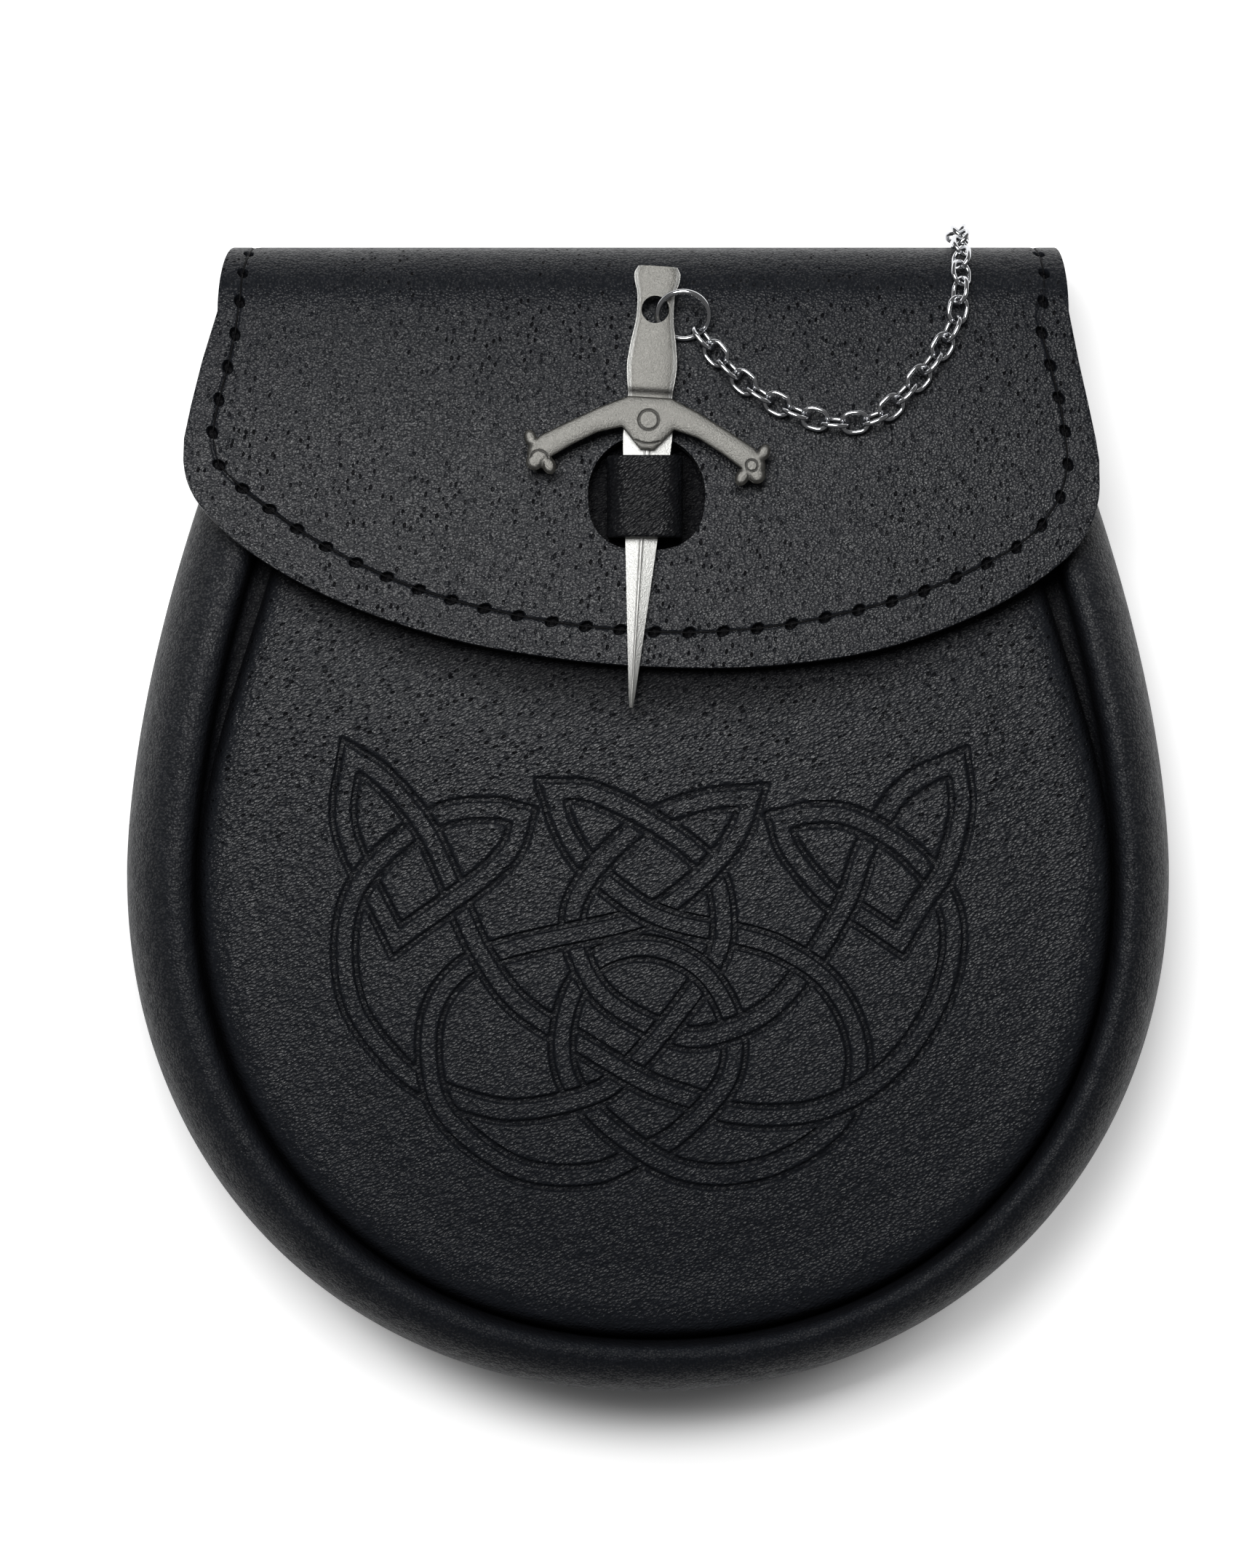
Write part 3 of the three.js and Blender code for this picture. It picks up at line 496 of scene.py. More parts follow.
        bump = None
        layers = ((pebble, -self.grain_depth), (crease, self.crease_depth), (pore, -self.pore_depth))
        for height, depth in layers:
            links = {"Height": height, "Distance": depth * MM}
            if bump:
                links["Normal"] = bump
            bump = add_node(tree, "ShaderNodeBump", links).outputs[0]
        # Pores and the painted shade take a darker, duller colour and a lower sheen.
        pores_and_painted_shade = add_node(tree, "ShaderNodeMath", {0: pore, 1: pressed}, operation="MAXIMUM").outputs[0]
        colours = {"Factor": crease, 6: linear(self.colour), 7: linear(self.worn_colour)}
        tint = add_node(tree, "ShaderNodeMix", colours, data_type="RGBA").outputs[2]
        colours = {"Factor": pores_and_painted_shade, 6: tint, 7: linear(self.pore_and_painted_shade_colour)}
        tint = add_node(tree, "ShaderNodeMix", colours, data_type="RGBA").outputs[2]
        # Sheen painted stronger on the grain's tops and weaker in its cracks, standing in for the grain's
        # light and shade.
        tops = {"Value": pebble, "From Min": self.grain_tops[0], "From Max": self.grain_tops[1],
                "To Min": self.sheen * self.grain_top_painted_sheen, "To Max": self.sheen * self.grain_crack_painted_sheen}
        shine = add_node(tree, "ShaderNodeMapRange", tops).outputs[0]
        # Painted light: the sheen is painted weaker and stronger along Y.
        low_y, low_share, high_y, high_share = self.painted_sheen_fall
        fall = {"Value": add_node(tree, "ShaderNodeSeparateXYZ", {0: spot}).outputs["Y"],
                "From Min": low_y * MM, "From Max": high_y * MM, "To Min": low_share, "To Max": high_share}
        for limits in (fall, {"Value": pores_and_painted_shade, "To Min": 1.0, "To Max": self.pore_and_painted_shade_sheen}):
            share = add_node(tree, "ShaderNodeMapRange", limits).outputs[0]
            shine = add_node(tree, "ShaderNodeMath", {0: shine, 1: share}, operation="MULTIPLY").outputs[0]
        low, high = self.roughness_spread
        uneven = {"Value": crease, "From Min": NOISE_LOW, "From Max": NOISE_HIGH,
                  "To Min": self.roughness + low, "To Max": self.roughness + high}
        rough = add_node(tree, "ShaderNodeMapRange", uneven).outputs[0]
        tree.links.new(tint, shader.inputs["Base Color"])
        tree.links.new(rough, shader.inputs["Roughness"])
        tree.links.new(shine, shader.inputs["Specular IOR Level"])
        tree.links.new(bump, shader.inputs["Normal"])
        return material


@dataclass(frozen=True)
class MetalFinish:
    """Cast or drawn metal, tumbled or plated, with its fine pitting.

    A polished place shows as a bright edge or blade, and a pressed one as a dark line of painted shade.
    """

    name: str
    colour: str
    roughness: float
    pit_mm: float = 0.25
    pit_depth: float = 0.02
    polished_colour: str | None = None
    painted_shade_colour: str = "2b2a29"
    uneven: float = 0.15

    def build(self) -> bpy.types.Material:
        """Makes the material.

        Returns:
            The node material.
        """
        material, tree, shader = new_material(self.name)
        place = add_node(tree, "ShaderNodeTexCoord").outputs["Object"]
        pitting = {"Vector": place, "Scale": 1 / (self.pit_mm * MM), "Detail": 3.0, "Roughness": 0.7}
        pits = add_node(tree, "ShaderNodeTexNoise", pitting).outputs[0]
        bump = add_node(tree, "ShaderNodeBump", {"Height": pits, "Distance": self.pit_depth * MM})
        ends = {"Value": pits, "From Min": NOISE_LOW, "From Max": NOISE_HIGH,
                "To Min": self.roughness * (1 - self.uneven), "To Max": self.roughness * (1 + self.uneven)}
        rough = add_node(tree, "ShaderNodeMapRange", ends)
        polished = add_node(tree, "ShaderNodeAttribute", attribute_name=POLISHED).outputs["Fac"]
        # Painted shade in the cast lines and the crease, kept on the mesh.
        pressed = add_node(tree, "ShaderNodeAttribute", attribute_name=PAINTED_SHADE).outputs["Fac"]
        polish = linear(self.polished_colour or self.colour)
        colours = {"Factor": polished, 6: linear(self.colour), 7: polish}
        bright = add_node(tree, "ShaderNodeMix", colours, data_type="RGBA")
        colours = {"Factor": pressed, 6: bright.outputs[2], 7: linear(self.painted_shade_colour)}
        tint = add_node(tree, "ShaderNodeMix", colours, data_type="RGBA")
        tree.links.new(tint.outputs[2], shader.inputs["Base Color"])
        shader.inputs["Metallic"].default_value = 1.0
        tree.links.new(rough.outputs[0], shader.inputs["Roughness"])
        tree.links.new(bump.outputs[0], shader.inputs["Normal"])
        return material


@dataclass(frozen=True)
class ThreadFinish:
    """Waxed black linen thread: dark, with a dull gleam along each ply."""

    name: str = "waxed_thread"
    colour: str = "060607"
    ply_mm: float = 0.3
    ply_depth: float = 0.03

    def build(self) -> bpy.types.Material:
        """Makes the material.

        Returns:
            The node material.
        """
        material, tree, shader = new_material(self.name)
        place = add_node(tree, "ShaderNodeTexCoord").outputs["Object"]
        ply = add_node(tree, "ShaderNodeTexNoise", {"Vector": place, "Scale": 1 / (self.ply_mm * MM)})
        bump = add_node(tree, "ShaderNodeBump", {"Height": ply.outputs[0], "Distance": self.ply_depth * MM})
        shader.inputs["Base Color"].default_value = linear(self.colour)
        shader.inputs["Roughness"].default_value = 0.6
        shader.inputs["Specular IOR Level"].default_value = 0.12
        tree.links.new(bump.outputs[0], shader.inputs["Normal"])
        return material


@dataclass(frozen=True)
class PouchShape:
    """Outline and depth of the pouch body, in millimetres."""

    half_width: float = 95.1
    drop: float = 94.9
    roundness: float = 2.1
    shoulder_taper: float = 0.01057
    shoulder_power: float = 1.69
    mouth_y: float = 95.0
    lower_share: float = 0.61
    rim_width: float = 12.4
    shift: tuple[float, float] = (1.3, -1.7)
    bulge_z: float = 14.0
    crest_z: float = 33.5
    mouth_crest_z: float = 25.0
    fall_start_y: float = 20.0
    tail_low_y: float = 76.0
    tail_high_y: float = 82.0
    tail_lift: float = 3.4

    def shoulder(self, y: np.ndarray) -> np.ndarray:
        """Half width of the body at a height above the widest line."""
        return self.half_width - self.shoulder_taper * np.maximum(y, 0) ** self.shoulder_power

    def outline(self, t: np.ndarray) -> np.ndarray:
        """Outline from the mouth's left end, t -1, round the bottom, t 0, to its right end, t 1."""
        side = np.sign(t)
        along = np.abs(t)
        turn = np.clip(along / self.lower_share, 0, 1) * math.pi / 2
        low_x = self.half_width * np.sin(turn) ** (2 / self.roundness)
        low_y = -self.drop * np.maximum(np.cos(turn), 0) ** (2 / self.roundness)
        high_y = self.mouth_y * (along - self.lower_share) / (1 - self.lower_share)
        low = along < self.lower_share
        x = np.where(low, low_x, self.shoulder(high_y))
        return np.stack([side * x, np.where(low, low_y, high_y)], -1)

    def inset(self, t: np.ndarray, inset: np.ndarray) -> np.ndarray:
        """Points inset from the outline, level above the widest line.

        Args:
            t: Places along the outline.
            inset: Distances inward, of a shape that goes with t.

        Returns:
            The points, with a last axis of two.
        """
        step = 1e-3
        t, inset = np.broadcast_arrays(t, inset)
        at = self.outline(t)
        shift = np.minimum(inset / self.rim_width, 1)
        run = unit(self.outline(t + step) - self.outline(t - step))
        low = np.abs(t) < self.lower_share
        slope = (self.shoulder(at[..., 1] + step) - self.shoulder(at[..., 1] - step)) / (2 * step)
        inward = np.where(low, run[..., 1] * inset, np.sign(t) * inset * np.hypot(1, slope))
        settle_y = np.where(low, 1.0, 1 - at[..., 1] / self.mouth_y)
        y = at[..., 1] + np.where(low, run[..., 0] * inset, 0) + self.shift[1] * shift * settle_y
        return np.stack([at[..., 0] - inward + self.shift[0] * shift, y], -1)

    def stations(self, lower: int, upper: int) -> np.ndarray:
        """Even places round the body, with so many on each side below and above the widest line."""
        right = np.concatenate([
            np.linspace(0, self.lower_share, lower + 1)[1:],
            np.linspace(self.lower_share, 1, upper + 1)[1:],
        ])
        return np.concatenate([-right[::-1], [0], right])

    def height(self, z: np.ndarray, y: np.ndarray) -> np.ndarray:
        """Height z of the lower body, lowered towards the mouth where the bag is thinner."""
        fall = smooth_rise((y - self.fall_start_y) / (self.mouth_y - self.fall_start_y))
        crest = lerp(self.crest_z, self.mouth_crest_z, fall)
        share = (crest - self.bulge_z) / (self.crest_z - self.bulge_z)
        return np.where(z <= self.bulge_z, z, self.bulge_z + (z - self.bulge_z) * share)

    def tail_rise(self, y: np.ndarray) -> np.ndarray:
        """How far the back stands off for the flap's sewn tail."""
        return np.interp(y, [self.tail_low_y, self.tail_high_y], [0, self.tail_lift])


SHAPE = PouchShape()


@dataclass
class Groove:
    """The groove between rim and front panel.

    What lies in it or on its edges is painted darker and duller than the hide: painted shade of the groove.
    """

    opening: float = 3.0
    start_y: float = 5.0
    length: float = 50.0
    seat_gap: float = 0.3
    # How far past the groove's edges the painted shade reaches, how softly it ends, and its strength.
    overlap: float = 1.0
    fade: float = 0.8
    share: float = 0.8
    line_stations: tuple[int, int] = (260, 120)

    def width(self, y: np.ndarray) -> np.ndarray:
        """How far the groove has opened at a height."""
        return self.opening * smooth_rise((y - self.start_y) / self.length)

    def paint_groove_shade(self, obj: bpy.types.Object) -> None:
        """Paints shade on what lies in the groove or on its edges."""
        t = SHAPE.stations(*self.line_stations)
        width = self.width(SHAPE.outline(t)[:, 1])
        tree = nearest_tree(SHAPE.inset(t, SHAPE.rim_width + self.seat_gap + width / 2))
        found = [tree.find((x, y, 0))[1:] for x, y, _ in vertices_mm(obj)]
        away = np.array([distance - width[i] / 2 for i, distance in found])
        mark(obj, PAINTED_SHADE, self.share * (1 - smooth_rise((away - self.overlap) / self.fade)))


@dataclass
class BackPanel:
    """The panel that lies on the wearer, dented over the strap's tunnel, with its strap loop."""

    thickness: float = 2.0
    inset: float = 1.5
    top_y: float = 94.6
    dent: tuple[tuple[float, float], ...] = (
        (16, 0), (24, 2.5), (33, 2.5), (38, 8.4), (62, 8.4), (67, 2.5), (76, 2.5), (82, 3.4))
    dent_edge_x: float = 27.0
    dent_fade: float = 24.0
    loop_half: float = 25.0
    loop_low: float = 24.0
    loop_high: float = 76.0
    loop_thickness: float = 2.2
    loop_corner: float = 4.0
    rows: int = 90
    columns: int = 80
    lowest_turn: float = math.radians(3)

    def rise(self, x: np.ndarray, y: np.ndarray) -> np.ndarray:
        """How far the panel stands off what it lies on."""
        away = smooth_rise((np.abs(x) - self.dent_edge_x) / self.dent_fade)
        table = np.array(self.dent)
        return lerp(np.interp(y, table[:, 0], table[:, 1]), SHAPE.tail_rise(y), away)

    def build_panel(self) -> bpy.types.Object:
        """Makes the panel.

        Returns:
            The closed panel.
        """
        drop = SHAPE.drop - self.inset
        straight = np.linspace(self.top_y, 0, self.rows // 2)
        turn = np.linspace(math.pi / 2, self.lowest_turn, self.rows // 2)[1:]
        power = 2 / SHAPE.roundness
        y = np.concatenate([straight, -drop * np.cos(turn) ** power])
        half = np.concatenate([SHAPE.shoulder(straight) - self.inset,
                               (SHAPE.half_width - self.inset) * np.sin(turn) ** power])
        x = half[:, None] * np.linspace(-1, 1, self.columns)
        y = y[:, None] + 0 * x
        points = np.stack([x, y, self.rise(x, y)], -1)
        obj = placed_grid("back_panel_hide", points, (0, 0, -1))
        give_wall(obj, self.thickness, 0.3)
        shade(obj, 40)
        return obj

    def build_strap_loop(self) -> bpy.types.Object:
        """Makes the plain strip that the hanging strap goes through.

        Returns:
            The closed strip.
        """
        middle = (0, (self.loop_low + self.loop_high) / 2 * MM, self.loop_thickness * MM)
        obj = start_from(bpy.ops.mesh.primitive_plane_add, "strap_loop_hide", size=1, location=middle)
        obj.scale = (2 * self.loop_half * MM, (self.loop_high - self.loop_low) * MM, 1)
        bpy.ops.object.transform_apply(location=True, rotation=True, scale=True)
        with editing(obj):
            bpy.ops.mesh.bevel(offset=self.loop_corner * MM, segments=8, affect="VERTICES")
        give_wall(obj, self.loop_thickness, 0.35)
        shade(obj, 40)
        return obj

    def dress(self, finish: bpy.types.Material) -> None:
        """Builds both pieces and dresses them in the body's leather."""
        settle(self.build_panel(), Slot.BODY, finish, "back_panel")
        settle(self.build_strap_loop(), Slot.BODY, finish, "strap_loop")


@dataclass
class Gusset:
    """The side wall and the rolled rim in front, down to the lip under the groove."""

    thickness: float = 1.8
    flange_top_z: float = 5.3
    section: tuple[tuple[float, float], ...] = (
        (9.0, 2.3), (2.8, 2.3), (0.9, 3.8), (0.1, 8.5), (0.0, 15.0), (0.6, 22.0), (2.6, 28.0),
        (5.8, 32.0), (9.2, 33.5), (11.4, 32.2), (12.2, 29.5), (12.6, 26.7), (20.5, 26.4))
    section_points: int = 56
    lower_stations: int = 110
    upper_stations: int = 56

    def build(self) -> bpy.types.Object:
        """Makes the gusset.

        Returns:
            The closed wall.
        """
        section = evenly(curve_through(list(self.section), 0.2), self.section_points)
        t = SHAPE.stations(self.lower_stations, self.upper_stations)[:, None]
        at = SHAPE.inset(t, section[:, 0])
        low = np.clip((SHAPE.bulge_z - section[:, 1]) / (SHAPE.bulge_z - self.flange_top_z), 0, 1)
        z = SHAPE.height(section[:, 1] + 0 * t, at[..., 1]) + SHAPE.tail_rise(at[..., 1]) * low
        points = np.concatenate([at, z[..., None]], -1)
        obj = placed_grid("gusset_hide", points, (0, -1, 0))
        give_wall(obj, self.thickness, 0.3)
        shade(obj, 50)
        return obj

    def dress(self, finish: bpy.types.Material) -> None:
        """Builds the gusset and dresses it in the body's leather."""
        obj = self.build()
        # Painted shade along the groove.
        Groove().paint_groove_shade(obj)
        settle(obj, Slot.BODY, finish, "gusset")


@dataclass
class Relief:
    """Lines sunk into a face with a flat bottom: where they run, how deep they are and how much shade is
    painted into them.
    """

    samples: np.ndarray
    floor: float
    half_width: float
    depth: float
    # Share of painted shade in the lines' hollows.
    painted_shade_share: float = 0.4
    tree: KDTree = field(init=False)

    def __post_init__(self) -> None:
        """Puts the samples in a tree that finds the nearest one."""
        self.tree = nearest_tree(self.samples)

    def distance(self, points: np.ndarray) -> np.ndarray:
        """Distance from each point to the nearest sample, in millimetres."""
        flat = len(self.samples[0]) == 2
        spots = points * (1, 1, 0) if flat else points
        return np.array([self.tree.find(spot)[2] for spot in spots])

    def share(self, away: np.ndarray) -> np.ndarray:
        """Share of the full depth at a distance from the line."""
        return 1 - smooth_rise((away - self.floor) / (self.half_width - self.floor))

    def refine(self, obj: bpy.types.Object, facing: Vector, reaches: tuple[float, ...],
               size: float) -> None:
        """Halves the faces near the lines, again and again, towards the lines.

        Args:
            obj: The mesh.
            facing: Direction of the face that the press works on.
            reaches: Distance from the lines for each round, in millimetres.
            size: Faces whose longest edge is shorter than this, in millimetres, are left.
        """
        bpy.context.tool_settings.mesh_select_mode = (False, False, True)
        for reach in reaches:
            mesh = obj.data
            points = vertices_mm(obj)
            ends = read(mesh.edges, "vertices", 2, int)
            edges = read(mesh.loops, "edge_index", 1, int)[:, 0]
            length = np.linalg.norm(points[ends[:, 0]] - points[ends[:, 1]], axis=1)[edges]
            longest = np.maximum.reduceat(length, read(mesh.polygons, "loop_start", 1, int)[:, 0])
            centres = read(mesh.polygons, "center", 3) / MM
            leaning = read(mesh.polygons, "normal", 3) @ np.array(facing)
            front = (leaning > FACING) & (longest > size)
            chosen = np.zeros(len(front), bool)
            chosen[front] = self.distance(centres[front]) < reach
            with editing(obj):
                bpy.ops.mesh.select_all(action="DESELECT")
            obj.data.polygons.foreach_set("select", chosen)
            select_only(obj)
            bpy.ops.object.mode_set(mode="EDIT")
            bpy.ops.mesh.subdivide(number_cuts=1, ngon=False, quadcorner="STRAIGHT_CUT")
            bpy.ops.object.mode_set(mode="OBJECT")

    def press(self, obj: bpy.types.Object, facing: Vector, side: Vector) -> None:
        """Presses the lines into the face that looks in the facing direction, along side, and paints shade
        into them.
        """
        points = vertices_mm(obj)
        front = np.flatnonzero(normals_of(obj) @ np.array(facing) > FACING)
        pressed = np.zeros(len(points))
        pressed[front] = self.share(self.distance(points[front]))
        place_vertices(obj, points - (self.depth * pressed)[:, None] * np.array(side))
        mark(obj, PAINTED_SHADE, pressed * self.painted_shade_share)


def mark(obj: bpy.types.Object, name: str, amount: np.ndarray) -> None:
    """Keeps an amount from 0 to 1 on each vertex, or the larger one where it has an amount already."""
    layer = obj.data.attributes.get(name) or obj.data.attributes.new(name, "FLOAT", "POINT")
    before = np.zeros(len(amount), np.float32)
    layer.data.foreach_get("value", before)
    layer.data.foreach_set("value", np.maximum(before, amount).astype(np.float32))


@dataclass
class Knot:
    """One endless strand with eight sharp tips, laid over and under itself in turn.

    It is a common interlaced knot. Each run is the strand's middle line from one tip to the next.
    """

    band: float = 3.9
    groove_floor: float = 0.35
    groove: float = 0.7
    depth: float = 0.6
    step: float = 0.12
    coarse: int = 4
    refine_reaches: tuple[float, ...] = (6.0, 4.0, 2.6, 1.6, 1.2)
    refine_size: float = 0.4
    tip_slack: float = 0.05
    runs: tuple[tuple[tuple[float, float], ...], ...] = (
        ((-53.3, 20.7), (-48.4, 17.6), (-40.0, 7.8), (-30.0, -14.5), (-23.4, -23.5), (-12.0, -30.9),
         (0.5, -38.2), (7.9, -40.8), (14.2, -43.3), (30.6, -42.9), (43.9, -35.2), (53.3, -20.3),
         (54.2, -7.0), (47.4, 3.0), (36.5, 9.7), (29.8, 10.4), (23.6, 9.1)),
        ((23.6, 9.1), (25.0, 4.7), (32.6, -4.6), (37.5, -7.4), (45.2, -12.5)),
        ((45.2, -12.5), (49.0, -6.1), (53.3, 0.4), (56.3, 11.7), (55.5, 19.6)),
        ((55.5, 19.6), (49.0, 16.8), (44.8, 13.3), (39.0, 3.9), (35.4, -5.9), (22.4, -24.3),
         (11.0, -29.5), (5.7, -29.5), (-8.9, -21.3), (-13.4, -7.0), (-2.4, 7.4), (10.3, 12.7),
         (18.5, 13.5)),
        ((18.5, 13.5), (16.7, 8.0), (12.6, 2.0), (3.6, -5.9), (-1.9, -8.5), (-32.0, -16.6),
         (-38.6, -25.2), (-38.6, -38.3), (-35.1, -45.0), (-23.0, -53.5), (-9.3, -54.3),
         (-1.9, -51.1), (5.2, -47.3), (14.6, -36.4), (14.9, -26.6), (9.1, -17.2), (-0.7, -13.5),
         (-9.7, -16.3), (-14.8, -25.8), (-14.0, -37.6), (5.2, -53.4), (21.2, -53.2), (34.5, -44.6),
         (37.8, -32.5), (32.9, -20.5), (22.8, -13.4), (4.0, -8.8), (-1.9, -6.1), (-11.5, 2.0),
         (-15.2, 8.2), (-17.3, 14.6)),
        ((-17.3, 14.6), (-10.1, 14.1), (11.0, 0.8), (13.5, -9.4), (12.2, -15.3), (-5.4, -37.4),
         (-10.1, -40.1), (-21.8, -42.8), (-28.1, -42.5), (-40.2, -38.3), (-45.3, -34.4),
         (-53.3, -22.7), (-52.6, -3.9), (-37.9, 9.7), (-27.7, 11.2), (-22.5, 10.0)),
        ((-22.5, 10.0), (-24.0, 5.1), (-27.3, 0.9), (-45.1, -12.4)),
        ((-45.1, -12.4), (-53.9, 6.1), (-54.7, 11.7), (-53.3, 20.7)),
    )

    def crossings(self, line: np.ndarray, run: np.ndarray) -> list[tuple[float, float]]:
        """Where the strand crosses itself.

        Args:
            line: Samples of the whole strand's middle line.
            run: Distance along the strand at each sample, with one more for its end.

        Returns:
            For each crossing, the distance at which the strand is over and at which it is under.
        """
        count = len(line)
        to = np.roll(line, -1, 0) - line
        met = []
        for i in range(count):
            j = np.arange(i + 2, count if i else count - 1)
            gap = line[j] - line[i]
            with np.errstate(divide="ignore", invalid="ignore"):
                both = to[i, 0] * to[j, 1] - to[i, 1] * to[j, 0]
                u = (gap[:, 0] * to[j, 1] - gap[:, 1] * to[j, 0]) / both
                v = (gap[:, 0] * to[i, 1] - gap[:, 1] * to[i, 0]) / both
            for k in np.flatnonzero((u >= 0) & (u < 1) & (v >= 0) & (v < 1)):
                met.append((lerp(run[i], run[i + 1], u[k]), lerp(run[j[k]], run[j[k] + 1], v[k])))
        visits = sorted((at, other) for pair in met for at, other in (pair, pair[::-1]))
        return [visit for order, visit in enumerate(visits) if order % 2 == 0]

    def edge_lines(self) -> np.ndarray:
        """The engraved lines along both sides of the band, left out where it passes under.

        Returns:
            Samples of the lines, in millimetres.
        """
        half = self.band / 2
        reach = 3 * self.band
        parts = [curve_through(list(run), self.step) for run in self.runs]
        line = np.vstack([part[:-1] for part in parts])
        run = np.concatenate([[0], np.cumsum(np.linalg.norm(np.roll(line, -1, 0) - line, axis=1))])
        length = run[-1]
        starts = np.cumsum([0] + [len(part) - 1 for part in parts])
        pairs = self.crossings(line[::self.coarse], np.append(run[:-1][::self.coarse], length))
        kept = []
        for k, part in enumerate(parts):
            along = run[starts[k]] + np.concatenate(
                [[0], np.cumsum(np.linalg.norm(np.diff(part, axis=0), axis=1))])
            heading = unit(np.gradient(part, axis=0))
            across = np.stack([-heading[:, 1], heading[:, 0]], 1)
            others = [(k - 1) % len(parts), (k + 1) % len(parts)]
            for side in (1, -1):
                edge = part + side * half * across
                hidden = np.zeros(len(edge), bool)
                for over, under in pairs:
                    near = np.abs((along - under + length / 2) % length - length / 2) < reach
                    top = line[np.abs((run[:-1] - over + length / 2) % length - length / 2) < reach]
                    gaps = np.linalg.norm(edge[near][:, None] - top[None], axis=2).min(1)
                    hidden[near] |= gaps < half
                for other in others:
                    near = np.abs(along - along[-1 if other == others[1] else 0]) < reach
                    gaps = np.linalg.norm(edge[near][:, None] - parts[other][None], axis=2).min(1)
                    hidden[near] |= gaps < half - self.tip_slack
                kept.append(edge[~hidden])
        kept.extend(self.mitre(parts[k - 1], parts[k]) for k in range(len(parts)))
        LOG.info("knot: %d crossings, %d tips", len(pairs), len(parts))
        return np.vstack(kept)

    def mitre(self, before: np.ndarray, after: np.ndarray) -> np.ndarray:
        """The two straight lines that close the band's outer edge at a tip.

        Args:
            before: Middle line of the run that ends at the tip.
            after: Middle line of the run that starts there.

        Returns:
            Samples of both lines.
        """
        tip = after[0]
        out = unit(before[-1] - before[-4])
        back = unit(after[0] - after[3])
        point = unit(out + back)
        reach = self.band / 2 / math.sqrt(max(1e-6, 1 - float(out @ point) ** 2))
        corner = tip + point * reach
        made = []
        for heading in (out, back):
            across = np.array([-heading[1], heading[0]])
            side = 1 if across @ (corner - tip) > 0 else -1
            start = tip + side * self.band / 2 * across
            count = max(2, int(np.linalg.norm(corner - start) / self.step))
            made.append(lerp(start, corner, np.linspace(0, 1, count)[:, None]))
        return np.vstack(made)

    def relief(self) -> Relief:
        """The knot as lines to press, with painted shade in them."""
        return Relief(self.edge_lines(), self.groove_floor, self.groove, self.depth)


@dataclass
class FrontPanel:
    """The domed front panel with its rolled edge and its pressed knot."""

    thickness: float = 1.8
    groove: Groove = field(default_factory=Groove)
    edge: tuple[tuple[float, float], ...] = (
        (0.0, 27.2), (0.2, 30.2), (1.5, 32.6), (4.5, 33.7), (12.0, 34.0))
    crown_z: float = 34.0
    dome: float = 2.4
    edge_points: int = 16
    crown_rows: int = 26
    # Reach, narrowing to the sides and strength of the flap's painted shadow on the panel.
    flap_shadow_reach: float = 15.0
    flap_shadow_slope: float = 0.11
    flap_shadow_share: float = 0.95
    lower_stations: int = 74
    upper_stations: int = 36
    knot: Knot = field(default_factory=Knot)

    def build(self) -> bpy.types.Object:
        """Makes the panel.

        Returns:
            The closed panel with the knot pressed in.
        """
        edge = evenly(curve_through(list(self.edge), 0.1), self.edge_points)
        t = SHAPE.stations(self.lower_stations, self.upper_stations)[:, None]
        away = SHAPE.rim_width + self.groove.seat_gap + self.groove.width(SHAPE.outline(t)[..., 1])
        rolled = SHAPE.inset(t, away + edge[:, 0])
        start = rolled[:, -1]
        share = np.linspace(0, 1, self.crown_rows + 1)[1:]
        spine_y = np.where(start[:, 1] < 0, start[:, 1] / 4, start[:, 1])
        x = lerp(start[:, :1], SHAPE.shift[0], share)
        y = lerp(start[:, 1:], spine_y[:, None], share)
        at = np.concatenate([rolled, np.stack([x, y], -1)], 1)
        crown = self.crown_z + self.dome * share * (2 - share)
        z = np.concatenate([edge[:, 1], crown]) + 0 * t
        points = np.concatenate([at, SHAPE.height(z, at[..., 1])[..., None]], -1)
        obj = placed_grid("front_panel_hide", points, (0, 0, 1))
        give_wall(obj, self.thickness, 0)
        relief = self.knot.relief()
        relief.refine(obj, UP, self.knot.refine_reaches, self.knot.refine_size)
        # Sinks the knot's lines and paints shade into them.
        relief.press(obj, UP, UP)
        # Painted shade along the groove.
        self.groove.paint_groove_shade(obj)
        shade(obj, 50)
        return obj

    def paint_flap_shadow(self, obj: bpy.types.Object, edge: np.ndarray) -> None:
        """Paints part of the flap's shadow into the hide below the flap's edge, darker and duller.

        Args:
            obj: The panel.
            edge: The flap's lower edge from left to right.
        """
        points = vertices_mm(obj)
        below = np.interp(points[:, 0], edge[:, 0], edge[:, 1]) - points[:, 1]
        reach = self.flap_shadow_reach - self.flap_shadow_slope * np.abs(points[:, 0])
        mark(obj, PAINTED_SHADE, self.flap_shadow_share * (1 - smooth_rise(below / np.maximum(reach, 1))))

    def dress(self, flap_edge: np.ndarray, finish: bpy.types.Material) -> None:
        """Builds the panel and dresses it."""
        obj = self.build()
        self.paint_flap_shadow(obj, flap_edge)
        settle(obj, Slot.PANEL, finish, "front_panel")


